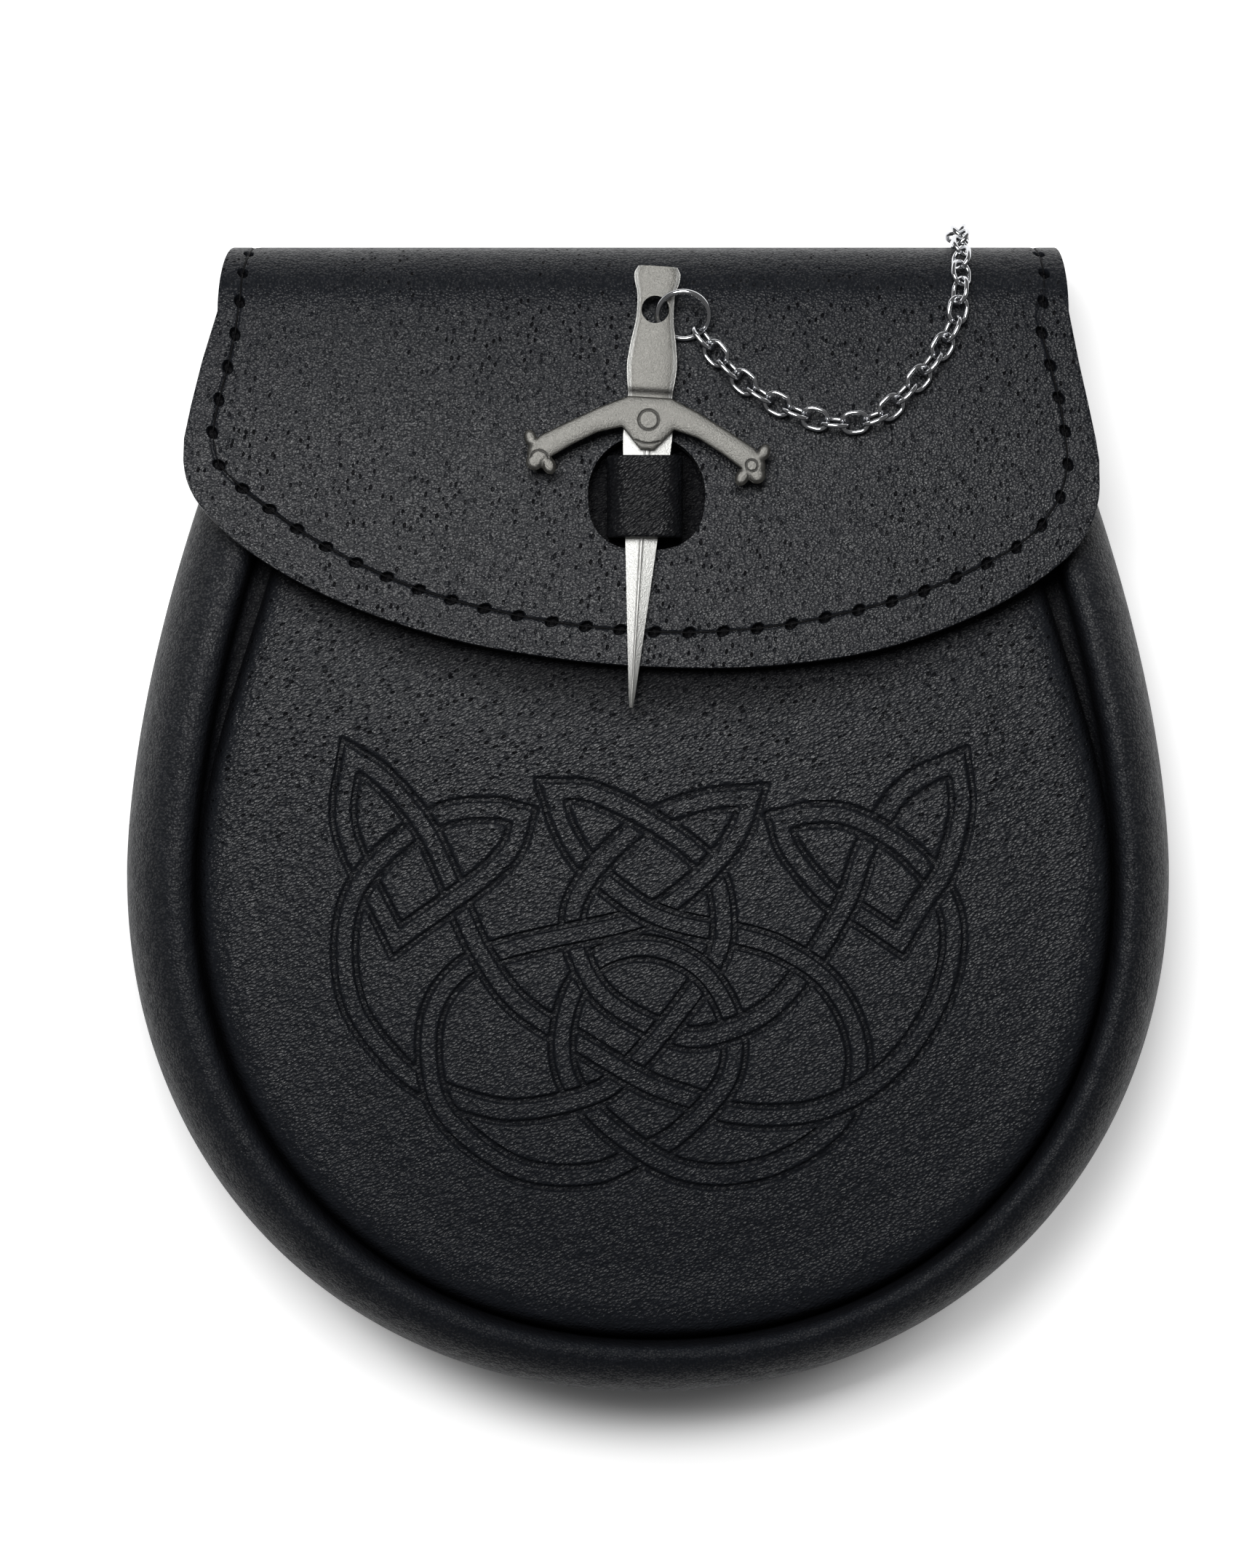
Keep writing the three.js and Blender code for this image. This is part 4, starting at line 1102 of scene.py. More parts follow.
@dataclass
class Flap:
    """The lined flap over the mouth, with its stitched border and its round hole."""

    fold_y: float = 99.0
    fold_z: float = 15.0
    fold_radius: float = 15.0
    slope: float = math.radians(8.2)
    ply: float = 1.6
    lining_ply: float = 1.2
    ply_gap: float = 0.3
    side_droop: float = 1.8
    reach_y: float = 36.7
    lining_inset: float = 0.35
    tail: tuple[tuple[float, float, float], ...] = ((84.5, -71.5, 71.0), (92.0, -72.0, 71.5))
    fold_ends: tuple[float, float, float, float] = (-72.5, 72.0, -77.6, 75.8)
    front: tuple[tuple[float, float, float], ...] = (
        (92.0, -80.3, 77.5), (84.0, -82.2, 79.2), (78.0, -83.4, 80.4))
    lower_edge: tuple[tuple[float, float], ...] = (
        (-83.5, 74.0), (-82.9, 70.6), (-80.8, 66.4), (-73.8, 59.4), (-59.8, 50.7), (-38.8, 42.8),
        (-17.8, 38.6), (3.2, 36.8), (24.3, 37.3), (45.3, 41.1), (66.4, 50.2), (77.6, 59.4),
        (80.7, 66.4), (81.0, 74.0))
    hole: tuple[float, float, float] = (-0.3, 68.2, 10.5)
    hole_squareness: float = 2.6
    stitch_row: tuple[tuple[float, float], ...] = (
        (-73.7, 100.7), (-75.4, 92.0), (-77.2, 85.0), (-78.3, 76.4), (-76.2, 72.0), (-70.5, 67.2),
        (-59.9, 59.7), (-48.6, 53.8), (-37.4, 49.5), (-24.7, 46.3), (-12.1, 44.2), (1.2, 43.1),
        (11.0, 43.1), (23.3, 44.2), (36.2, 46.7), (47.5, 49.8), (58.7, 54.5), (68.6, 60.3),
        (73.9, 67.3), (75.4, 73.6), (74.2, 83.5), (72.2, 92.1), (70.0, 100.7))
    stitch_pitch: float = 6.1
    stitch_side_inset: float = 3.9
    awl_slant: float = 0.5
    awl_size: tuple[float, float] = (1.35, 0.95)
    awl_depth: float = 1.3
    awl_flat: float = 0.7
    awl_reach: float = 3.0
    line_floor: float = 0.1
    line_half: float = 0.5
    line_depth: float = 0.2
    # Share of painted shade along the stitch line; the awl holes get it in full.
    line_painted_shade: float = 0.2
    press_lean: tuple[float, float, float] = (0, 0.3, 0.95)
    refine_reaches: tuple[float, ...] = (3.0, 2.2, 1.7, 1.6)
    refine_size: float = 0.3
    press_reach: float = 2.5
    edge_round: float = 0.35
    lining_edge_round: float = 0.25
    columns: int = 112
    lining_columns: int = 84
    tail_rows: int = 9
    fold_rows: int = 31
    front_rows: int = 17
    skirt_rows: int = 31
    stitch_start_y: float = 87.0
    stitch_fold_share: float = 0.93
    thread_radius: float = 0.16
    thread_sink: tuple[float, float] = (-0.55, 0.45)
    thread_points: int = 8
    thread_end: float = 0.03
    stitch_samples: int = 160
    holes: np.ndarray = field(init=False)

    def start(self) -> tuple[float, float]:
        """Y and Z where the straight front begins."""
        return (self.fold_y + self.fold_radius * math.sin(self.slope),
                self.fold_z + self.fold_radius * math.cos(self.slope))

    def height(self, x: np.ndarray, y: np.ndarray) -> np.ndarray:
        """Height of the flap's outer face in front of the fold."""
        start_y, start_z = self.start()
        down = start_y - y
        droop = self.side_droop * (x / SHAPE.half_width) ** 2 * down / (start_y - self.reach_y)
        return start_z + down * math.tan(self.slope) - droop

    def face(self, depth: float, edge_inset: float, columns: int) -> np.ndarray:
        """One face of the flap, from its sewn tail over the fold to its lower edge.

        Args:
            depth: How far under the outer face it lies.
            edge_inset: How far its edges stand back.
            columns: Number of columns.

        Returns:
            The field of points.
        """
        share = np.linspace(0, 1, columns + 1)

        def across(left: np.ndarray, right: np.ndarray) -> np.ndarray:
            """Points from the left edge to the right one, for each row."""
            return lerp((left + edge_inset)[:, None], (right - edge_inset)[:, None], share)

        def within(table: np.ndarray, y: np.ndarray) -> np.ndarray:
            """Points across rows at y, between the sides that a table of y, left and right gives."""
            return across(*(np.interp(y, table[:, 0], table[:, k]) for k in (1, 2)))

        tail = np.array(self.tail + ((self.fold_y, self.fold_ends[0], self.fold_ends[1]),), float)
        tail_y = np.linspace(tail[0, 0], self.fold_y, self.tail_rows)[:-1]
        tail_x = within(tail, tail_y)
        tail_rows = np.stack([tail_x, tail_y[:, None] + 0 * tail_x, depth + 0 * tail_x], -1)

        turn = np.linspace(0, 1, self.fold_rows)
        angle = lerp(math.pi, self.slope, turn)
        widen = smooth_rise(turn)
        fold_x = across(lerp(self.fold_ends[0], self.fold_ends[2], widen),
                        lerp(self.fold_ends[1], self.fold_ends[3], widen))
        reach = self.fold_radius - depth
        fold_y = (self.fold_y + reach * np.sin(angle))[:, None] + 0 * fold_x
        fold_z = (self.fold_z + reach * np.cos(angle))[:, None] + 0 * fold_x
        fold_rows = np.stack([fold_x, fold_y, fold_z], -1)

        sides = np.array(((self.start()[0], self.fold_ends[2], self.fold_ends[3]),) + self.front)[::-1]
        front_y = np.linspace(self.start()[0], sides[0, 0], self.front_rows)[1:]
        front_x = within(sides, front_y)
        front_y = front_y[:, None] + 0 * front_x
        border = curve_through([(x, y + edge_inset) for x, y in self.lower_edge], 0.5)
        end = evenly(border, columns + 1)
        down = np.linspace(0, 1, self.skirt_rows)[1:, None]
        skirt_x = lerp(front_x[-1], end[:, 0] * (1 - edge_inset / SHAPE.half_width), down)
        skirt_y = lerp(front_y[-1], end[:, 1], down)
        x = np.vstack([front_x, skirt_x])
        y = np.vstack([front_y, skirt_y])
        z = self.height(x, y) - depth * math.cos(self.slope)
        front_rows = np.stack([x, y - depth * math.sin(self.slope), z], -1)
        return np.concatenate([tail_rows, fold_rows, front_rows])

    def cut_hole(self, obj: bpy.types.Object) -> None:
        """Cuts the hole that the loop comes through."""
        x, y, radius = self.hole
        size = {"vertices": 96, "radius": 1.0, "depth": 16.0}
        cutter = start_from(bpy.ops.mesh.primitive_cylinder_add, "hole_cutter", **size)
        points = vertices_mm(cutter) * MM
        turn = np.arctan2(points[:, 1], points[:, 0])
        power = np.where(np.sin(turn) < 0, 2 / self.hole_squareness, 1.0)
        points[:, 0] = radius * np.sign(np.cos(turn)) * np.abs(np.cos(turn)) ** power
        points[:, 1] = radius * np.sign(np.sin(turn)) * np.abs(np.sin(turn)) ** power
        tilt = np.array(Matrix.Rotation(-self.slope, 3, "X"))
        centre = np.array([x, y, float(self.height(np.array(x), np.array(y)))])
        place_vertices(cutter, points @ tilt.T + centre)
        cut_away(obj, cutter)

    def stitch_path(self) -> np.ndarray:
        """The row of stitches, on the outer face, from the left tail to the right one.

        Returns:
            Samples in three dimensions.
        """
        turn = np.linspace(0, self.stitch_fold_share, 15)
        angle = lerp(math.pi, self.slope, turn)
        widen = smooth_rise(turn)
        y = self.fold_y + self.fold_radius * np.sin(angle)
        z = self.fold_z + self.fold_radius * np.cos(angle)
        ends = []
        for corner, inward in enumerate((1, -1)):
            x = lerp(self.fold_ends[corner], self.fold_ends[corner + 2], widen)
            ends.append(np.stack([x + inward * self.stitch_side_inset, y, z], 1))
        row = curve_through(list(self.stitch_row), 0.5)
        front = np.column_stack([row, self.height(row[:, 0], row[:, 1])])
        tails = [np.array([[end[0, 0], self.stitch_start_y, 0.0]]) for end in ends]
        path = np.vstack([tails[0], ends[0], front, ends[1][::-1], tails[1]])
        return curve_through([tuple(p) for p in evenly(path, self.stitch_samples)], 0.4)

    def normal_at(self, points: np.ndarray) -> np.ndarray:
        """Outward direction of the flap at points on its outer face."""
        around = points - (0, self.fold_y, self.fold_z)
        around[:, 0] = 0
        around = unit(around)
        front = (points[:, 1] < self.start()[0]) & (points[:, 2] > self.fold_z)
        tail = (points[:, 1] < self.fold_y) & (points[:, 2] <= self.fold_z)
        around[front] = (0, math.sin(self.slope), math.cos(self.slope))
        around[tail] = (0, 0, -1)
        return around

    def build_top(self) -> bpy.types.Object:
        """Makes the outer ply.

        Returns:
            The closed ply, with its hole and its stitch marks.
        """
        obj = placed_grid("flap_hide", self.face(0, 0, self.columns), (0, 0.5, 0.8))
        give_wall(obj, self.ply, 0)
        self.cut_hole(obj)
        round_edges(obj, self.edge_round, CUT_EDGE_ANGLE)
        self.press_stitches(obj)
        shade(obj, 40)
        return obj

    def press_stitches(self, obj: bpy.types.Object) -> None:
        """Presses the stitch line and the awl holes into the outer face, and paints shade into them."""
        path = self.stitch_path()
        count = int(round(np.linalg.norm(np.diff(path, axis=0), axis=1).sum() / self.stitch_pitch)) + 1
        self.holes = evenly(path, count)
        line = Relief(path, self.line_floor, self.line_half, self.line_depth)
        line.refine(obj, Vector(self.press_lean), self.refine_reaches, self.refine_size)
        points = vertices_mm(obj)
        outward = self.normal_at(points)
        near = np.flatnonzero((normals_of(obj) * outward).sum(1) > FACING)
        away = line.distance(points[near])
        near, away = near[away < self.press_reach], away[away < self.press_reach]
        depth = line.depth * line.share(away)
        hollow = np.zeros(len(near))
        heading = unit(np.gradient(self.holes, axis=0))
        for centre, ahead, up in zip(self.holes, heading, self.normal_at(self.holes.copy())):
            aside = np.cross(up, ahead)
            slanted = ahead * math.cos(self.awl_slant) + aside * math.sin(self.awl_slant)
            crossing = np.cross(up, slanted)
            offset = points[near] - centre
            ring = np.hypot(offset @ slanted / self.awl_size[0], offset @ crossing / self.awl_size[1])
            ring[np.abs(offset @ up) >= self.awl_reach] = np.inf
            hollow = np.maximum(hollow, 1 - smooth_rise((ring - self.awl_flat) / (1 - self.awl_flat)))
        depth = np.maximum(depth, self.awl_depth * hollow)
        points[near] -= depth[:, None] * outward[near]
        place_vertices(obj, points)
        # Painted shade in the awl holes and along the stitch line.
        pressed = np.zeros(len(points))
        pressed[near] = np.maximum(hollow, self.line_painted_shade * line.share(away))
        mark(obj, PAINTED_SHADE, pressed)

    def build_thread(self) -> bpy.types.Object:
        """Makes the stitches, one short sunk thread from each awl hole to the next.

        Returns:
            The thread as one mesh.
        """
        curve = bpy.data.curves.new("flap_stitching", "CURVE")
        curve.dimensions = "3D"
        curve.bevel_depth = self.thread_radius * MM
        curve.bevel_resolution = 1
        curve.use_fill_caps = True
        up = self.normal_at(self.holes.copy())
        for i in range(len(self.holes) - 1):
            spline = curve.splines.new("POLY")
            spline.points.add(self.thread_points - 1)
            shares = np.linspace(self.thread_end, 1 - self.thread_end, self.thread_points)
            for k, share in enumerate(shares):
                at = lerp(self.holes[i], self.holes[i + 1], share)
                normal = lerp(up[i], up[i + 1], share)
                bulge = self.thread_sink[0] + self.thread_sink[1] * math.sin(math.pi * share) ** 0.5
                lift = self.chord_lift(self.holes[i], self.holes[i + 1], up[i], up[i + 1], share)
                spline.points[k].co = (*((at + normal * (bulge + lift)) * MM), 1)
        obj = bpy.data.objects.new("flap_stitching", curve)
        bpy.context.scene.collection.objects.link(obj)
        select_only(obj)
        bpy.ops.object.convert(target="MESH")
        obj = bpy.context.active_object
        shade(obj, 60)
        return obj

    def chord_lift(self, a: np.ndarray, b: np.ndarray, up_a: np.ndarray, up_b: np.ndarray,
                   share: float) -> float:
        """How far the bent face stands over the straight line between two holes."""
        bend = math.acos(float(np.clip(up_a @ up_b, -1, 1)))
        return float(np.linalg.norm(b - a)) * bend / 2 * share * (1 - share)

    def build_lining(self) -> bpy.types.Object:
        """Makes the thin lining.

        Returns:
            The closed ply.
        """
        points = self.face(self.ply + self.ply_gap, self.lining_inset, self.lining_columns)
        obj = placed_grid("flap_lining_hide", points, (0, 0.5, 0.8))
        give_wall(obj, self.lining_ply, 0)
        self.cut_hole(obj)
        round_edges(obj, self.lining_edge_round, CUT_EDGE_ANGLE)
        shade(obj, 40)
        return obj

    def dress(self, finish: bpy.types.Material, lining: bpy.types.Material,
              thread: bpy.types.Material) -> None:
        """Builds the flap's pieces and dresses them."""
        settle(self.build_top(), Slot.FLAP, finish, "flap")
        settle(self.build_lining(), Slot.LINING, lining, "flap_lining")
        settle(self.build_thread(), Slot.FLAP, thread)


@dataclass
class DirkPin:
    """The pin: a flat cast dirk with a crossguard riveted on it."""

    x: float = 0.05
    y: float = 80.8
    z: float = 35.82
    lean: float = 3.49
    tilt: float = 5.71
    thickness: float = 1.4
    eye: tuple[float, float] = (20.3, 2.5)
    guard_gap: float = 0.15
    guard_thickness: float = 1.2
    guard_round: float = 0.28
    guard_round_reach: float = 1.7
    wall_lean: float = 0.4
    # Floor, half width, depth and painted shade of the guard's cast lines.
    line_press: tuple[float, float, float, float] = (0.05, 0.26, 0.16, 0.75)
    remesh_size: float = 0.14
    smooth_rounds: int = 9
    top_y: float = 28.2
    blade_y: float = -4.0
    tip_y: float = -51.7
    rows: tuple[int, int] = (90, 70)
    columns: int = 25
    ridge_columns: int = 13
    ridge_share: float = 0.15
    edge_round: float = 0.16
    edge_angle: float = 42.0
    grip_power: float = 3.2
    grip_edge: float = 0.28
    grip_start_y: float = -2.0
    grip_fade: float = 4.0
    blade_thinning: float = 0.62
    rib_height: float = 0.12
    rib_share: float = 0.085
    rib_width: float = 0.03
    rib_top_y: float = -3.0
    crease_y: float = 5.4
    crease_width: float = 0.45
    crease_depth: float = 0.25
    # Painted shade in the crease across the grip, and its width.
    crease_painted_shade: float = 0.8
    crease_painted_shade_width: float = 0.5
    polished_fade: float = 0.1
    polished_edge: float = 0.8
    polished_y: float = -1.0
    outline: tuple[tuple[float, float], ...] = (
        (3.2, 28.2), (3.95, 27.8), (4.2, 26.6), (3.95, 25.1), (3.35, 23.4), (3.25, 20.5), (3.35, 18.2),
        (4.1, 14.0), (4.5, 10.5), (4.35, 8.0), (3.95, 5.2), (3.95, 2.0), (4.4, -1.0), (4.35, -4.0),
        (2.95, -20.5), (0.45, -51.0), (0.2, -51.7))
    guard_outline: tuple[tuple[float, float], ...] = (
        (3.85, 4.15), (8.8, 1.9), (14.4, -1.2), (19.3, -4.0), (20.9, -6.6), (17.4, -7.9), (13.4, -5.2),
        (9.0, -2.7), (4.65, -1.45), (1.25, -5.3))
    # x, y, half across, half long and turn of each swelling of a leaf.
    lobes: tuple[tuple[float, float, float, float, float], ...] = (
        (19.3, -7.1, 2.1, 2.1, 0), (20.9, -4.5, 1.15, 1.65, -20), (19.9, -8.7, 1.6, 1.6, 0),
        (17.3, -9.2, 1.25, 1.75, -25))
    tongue_line: tuple[tuple[float, float], ...] = (
        (-2.1, -3.8), (-1.0, -4.15), (0.0, -4.25), (1.0, -4.15), (2.1, -3.8))
    # x, y, radius, first angle and last angle of each round line.
    rings: tuple[tuple[float, float, float, float, float], ...] = (
        (0.0, 0.0, 1.8, 0, 360), (18.9, -7.1, 1.05, 0, 360), (-19.1, -8.4, 1.7, 20, 160))

    def frame(self) -> Matrix:
        """The pin's own frame, with its rivet at the origin, in millimetres."""
        lean = Matrix.Rotation(math.radians(-self.lean), 4, "Z")
        tilt = Matrix.Rotation(math.radians(-self.tilt), 4, "X")
        return Matrix.Translation((self.x, self.y, self.z)) @ lean @ tilt

    def to_place(self, obj: bpy.types.Object) -> None:
        """Moves a piece made in the pin's own frame to its place."""
        matrix = np.array(self.frame())
        points = vertices_mm(obj)
        place_vertices(obj, points @ matrix[:3, :3].T + matrix[:3, 3])

    def blade_z(self, across: np.ndarray, along: np.ndarray) -> np.ndarray:
        """Half thickness over the dirk, as a share: a domed grip and a ribbed blade."""
        grip = (1 - np.abs(across) ** self.grip_power) ** 0.5
        blade = 1 - self.blade_thinning * np.abs(across)
        turn = smooth_rise((along - self.grip_start_y) / self.grip_fade)
        return lerp(blade, np.maximum(grip, self.grip_edge), turn)

    def build_dirk(self) -> bpy.types.Object:
        """Makes the grip and the blade in one piece.

        Returns:
            The closed dirk with its eye.
        """
        table = np.array(self.outline)[::-1]
        grip = np.linspace(self.top_y, self.blade_y, self.rows[0])
        blade = np.linspace(self.blade_y, self.tip_y, self.rows[1])
        along = np.unique(np.concatenate([grip, blade]))
        half = np.interp(along, table[:, 1], table[:, 0])
        half = np.convolve(np.pad(half, 2, "edge"), np.ones(5) / 5, "valid")
        coarse = np.sin(np.linspace(-1, 1, self.columns) * math.pi / 2)
        ridge = np.linspace(-self.ridge_share, self.ridge_share, self.ridge_columns)
        share = np.unique(np.concatenate([coarse[np.abs(coarse) > self.ridge_share + 0.01], ridge]))
        x = half[:, None] * share
        y = along[:, None] + 0 * x
        rib = self.rib_height * np.exp(-((np.abs(share) - self.rib_share) / self.rib_width) ** 2)
        crease = self.crease_depth * np.exp(-((y - self.crease_y) / self.crease_width) ** 2)
        z = self.thickness / 2 * self.blade_z(share[None] + 0 * x, y)
        top = np.stack([x, y, z + rib * (y < self.rib_top_y) - crease], -1)
        under = np.stack([x, y, -z], -1)[:, ::-1]
        ring = np.concatenate([top, under, top[:, :1]], 1)
        first = ring[:1].mean(1, keepdims=True) + 0 * ring[:1]
        last = ring[-1:].mean(1, keepdims=True) + 0 * ring[-1:]
        obj = placed_grid("pin_dirk_casting", np.concatenate([first, ring, last]), (0, 0, 1))
        close_up(obj, gap=0.01)
        eye_y, radius = self.eye
        size = {"vertices": 48, "radius": radius * MM, "depth": 8 * MM, "location": (0, eye_y * MM, 0)}
        cutter = start_from(bpy.ops.mesh.primitive_cylinder_add, "eye_cutter", **size)
        bpy.ops.object.transform_apply(location=True)
        cut_away(obj, cutter)
        round_edges(obj, self.edge_round, self.edge_angle)
        points = vertices_mm(obj)
        edge = np.abs(points[:, 0]) / np.interp(points[:, 1], table[:, 1], table[:, 0])
        polished = smooth_rise((edge - self.polished_edge) / self.polished_fade)
        front = points[:, 2] > 0
        mark(obj, POLISHED, np.where(points[:, 1] < self.polished_y, 1.0, polished * front))
        # Painted shade in the crease, on the front face.
        painted_shade_share = self.crease_painted_shade * np.exp(-((points[:, 1] - self.crease_y) / self.crease_painted_shade_width) ** 2)
        mark(obj, PAINTED_SHADE, painted_shade_share * front)
        shade(obj, 32)
        self.to_place(obj)
        return obj

    def build_guard(self) -> bpy.types.Object:
        """Makes the crossguard, a cast plate with a leaf at each end.

        Returns:
            The closed plate.
        """
        right = list(self.guard_outline)
        corners = [(-x, y) for x, y in right] + right[::-1]
        circle = {"vertices": len(corners), "fill_type": "NGON"}
        plate = start_from(bpy.ops.mesh.primitive_circle_add, "guard_plate", **circle)
        low = self.thickness / 2 + self.guard_gap
        place_vertices(plate, np.array([(x, y, low) for x, y in corners]))
        with editing(plate):
            bpy.ops.mesh.normals_make_consistent(inside=False)
            rise = {"value": (0, 0, self.guard_thickness * MM)}
            bpy.ops.mesh.extrude_region_move(TRANSFORM_OT_translate=rise)
            bpy.ops.mesh.select_all(action="SELECT")
            bpy.ops.mesh.normals_make_consistent(inside=False)
        pieces = [plate]
        for side in (-1, 1):
            for x, y, across, long, turn in self.lobes:
                middle = Vector((side * x, y, low + self.guard_thickness / 2)) * MM
                ball = {"segments": 24, "ring_count": 14, "radius": MM, "location": middle}
                lobe = start_from(bpy.ops.mesh.primitive_uv_sphere_add, "guard_lobe", **ball)
                lobe.scale = (across, long, self.guard_thickness * 0.62)
                lobe.rotation_euler = (0, 0, side * math.radians(turn))
                bpy.ops.object.transform_apply(location=True, rotation=True, scale=True)
                pieces.append(lobe)
        obj = join(pieces)
        obj.name = "pin_guard_casting"
        apply_modifier(obj, "REMESH", mode="VOXEL", voxel_size=self.remesh_size * MM)
        apply_modifier(obj, "SMOOTH", iterations=self.smooth_rounds, factor=0.5)
        points = vertices_mm(obj)
        points[:, 2] = np.clip(points[:, 2], low, low + self.guard_thickness)
        place_vertices(obj, points)
        self.round_over(obj)
        self.guard_lines().press(obj, UP, UP)
        shade(obj, 60)
        self.to_place(obj)
        return obj

    def round_over(self, obj: bpy.types.Object) -> None:
        """Rounds the guard's top over towards its edges."""
        points = vertices_mm(obj)
        up = normals_of(obj)[:, 2]
        tree = nearest_tree(points[np.abs(up) < self.wall_lean, :2])
        for i in np.flatnonzero(up > self.wall_lean):
            away = tree.find((points[i, 0], points[i, 1], 0))[2]
            points[i, 2] -= self.guard_round * max(0, 1 - away / self.guard_round_reach) ** 2
        place_vertices(obj, points)

    def guard_lines(self) -> Relief:
        """The lines cast into the guard, round its rivet, on its tongue and on its leaves, with painted
        shade in them.
        """
        made = [curve_through(list(self.tongue_line), 0.06)]
        for x, y, radius, first, last in self.rings:
            turn = np.radians(np.linspace(first, last, 90))
            made.append(np.stack([x + radius * np.cos(turn), y + radius * np.sin(turn)], 1))
        return Relief(np.vstack(made), *self.line_press)

    def build_rivet(self) -> bpy.types.Object:
        """Makes the rivet through guard and blade.

        Returns:
            The closed rivet.
        """
        back = -self.thickness / 2 - self.guard_gap
        top = self.thickness / 2 + self.guard_gap + self.guard_thickness + 0.05
        # From the domed head behind the blade to the peened end in front.
        profile = [(0, back - 0.5), (2.1, back - 0.5), (2.4, back - 0.3), (2.4, back), (1.6, back),
                   (1.6, top - 0.12), (1.45, top), (0, top + 0.06)]
        obj = turned("pin_rivet_turned", profile, 40)
        shade(obj, 35)
        self.to_place(obj)
        return obj

    def dress(self, cast: bpy.types.Material) -> None:
        """Builds the pin's pieces and dresses them."""
        settle(self.build_dirk(), Slot.PIN, cast, "pin_dirk")
        settle(self.build_guard(), Slot.PIN, cast, "pin_guard")
        settle(self.build_rivet(), Slot.PIN, cast, "pin_rivet")


@dataclass
class ClosureLoop:
    """Arch of leather on the front panel that the blade passes through."""

    x: float = -0.6
    half: float = 6.8
    low: float = 60.0
    high: float = 74.7
    wall: float = 1.7
    corner: float = 4.0
    over_blade: float = 1.0
    seat_gap: float = 0.3

    def build(self, pin: DirkPin, panel: FrontPanel) -> bpy.types.Object:
        """Makes the loop.

        Args:
            pin: The pin that it goes over.
            panel: The panel that it stands on.

        Returns:
            The closed strip.
        """
        y = np.linspace(self.low, self.high, 16)[:, None]
        foot = SHAPE.height(panel.crown_z + panel.dome + 0 * y, y) + self.seat_gap
        middle = pin.z - (y - pin.y) * math.tan(math.radians(pin.tilt))
        top = middle + pin.thickness / 2 + self.over_blade / 2 + self.wall
        turn = np.linspace(0, math.pi / 2, 9)
        flat = np.linspace(1, 0, 7)[1:] * (self.half - self.corner)
        rise = np.linspace(0, 1, 5)[:-1]
        round_x = self.half - self.corner + self.corner * np.cos(turn)
        right_x = np.concatenate([self.half + 0 * rise, round_x, flat])
        up = lerp(foot, top - self.corner, rise)
        round_z = top - self.corner + self.corner * np.sin(turn)
        right_z = np.concatenate([up, round_z, top + 0 * flat], 1)
        x = np.concatenate([right_x, -right_x[::-1][1:]]) + self.x + 0 * y
        z = np.concatenate([right_z, right_z[:, ::-1][:, 1:]], 1)
        points = np.stack([x, y + 0 * x, z], -1)
        obj = placed_grid("closure_loop_hide", points, (0, 0, 1))
        give_wall(obj, self.wall, 0.4)
        shade(obj, 50)
        return obj

    def dress(self, pin: DirkPin, panel: FrontPanel, finish: bpy.types.Material) -> None:
        """Builds the loop and dresses it."""
        settle(self.build(pin, panel), Slot.PANEL, finish, "closure_loop")


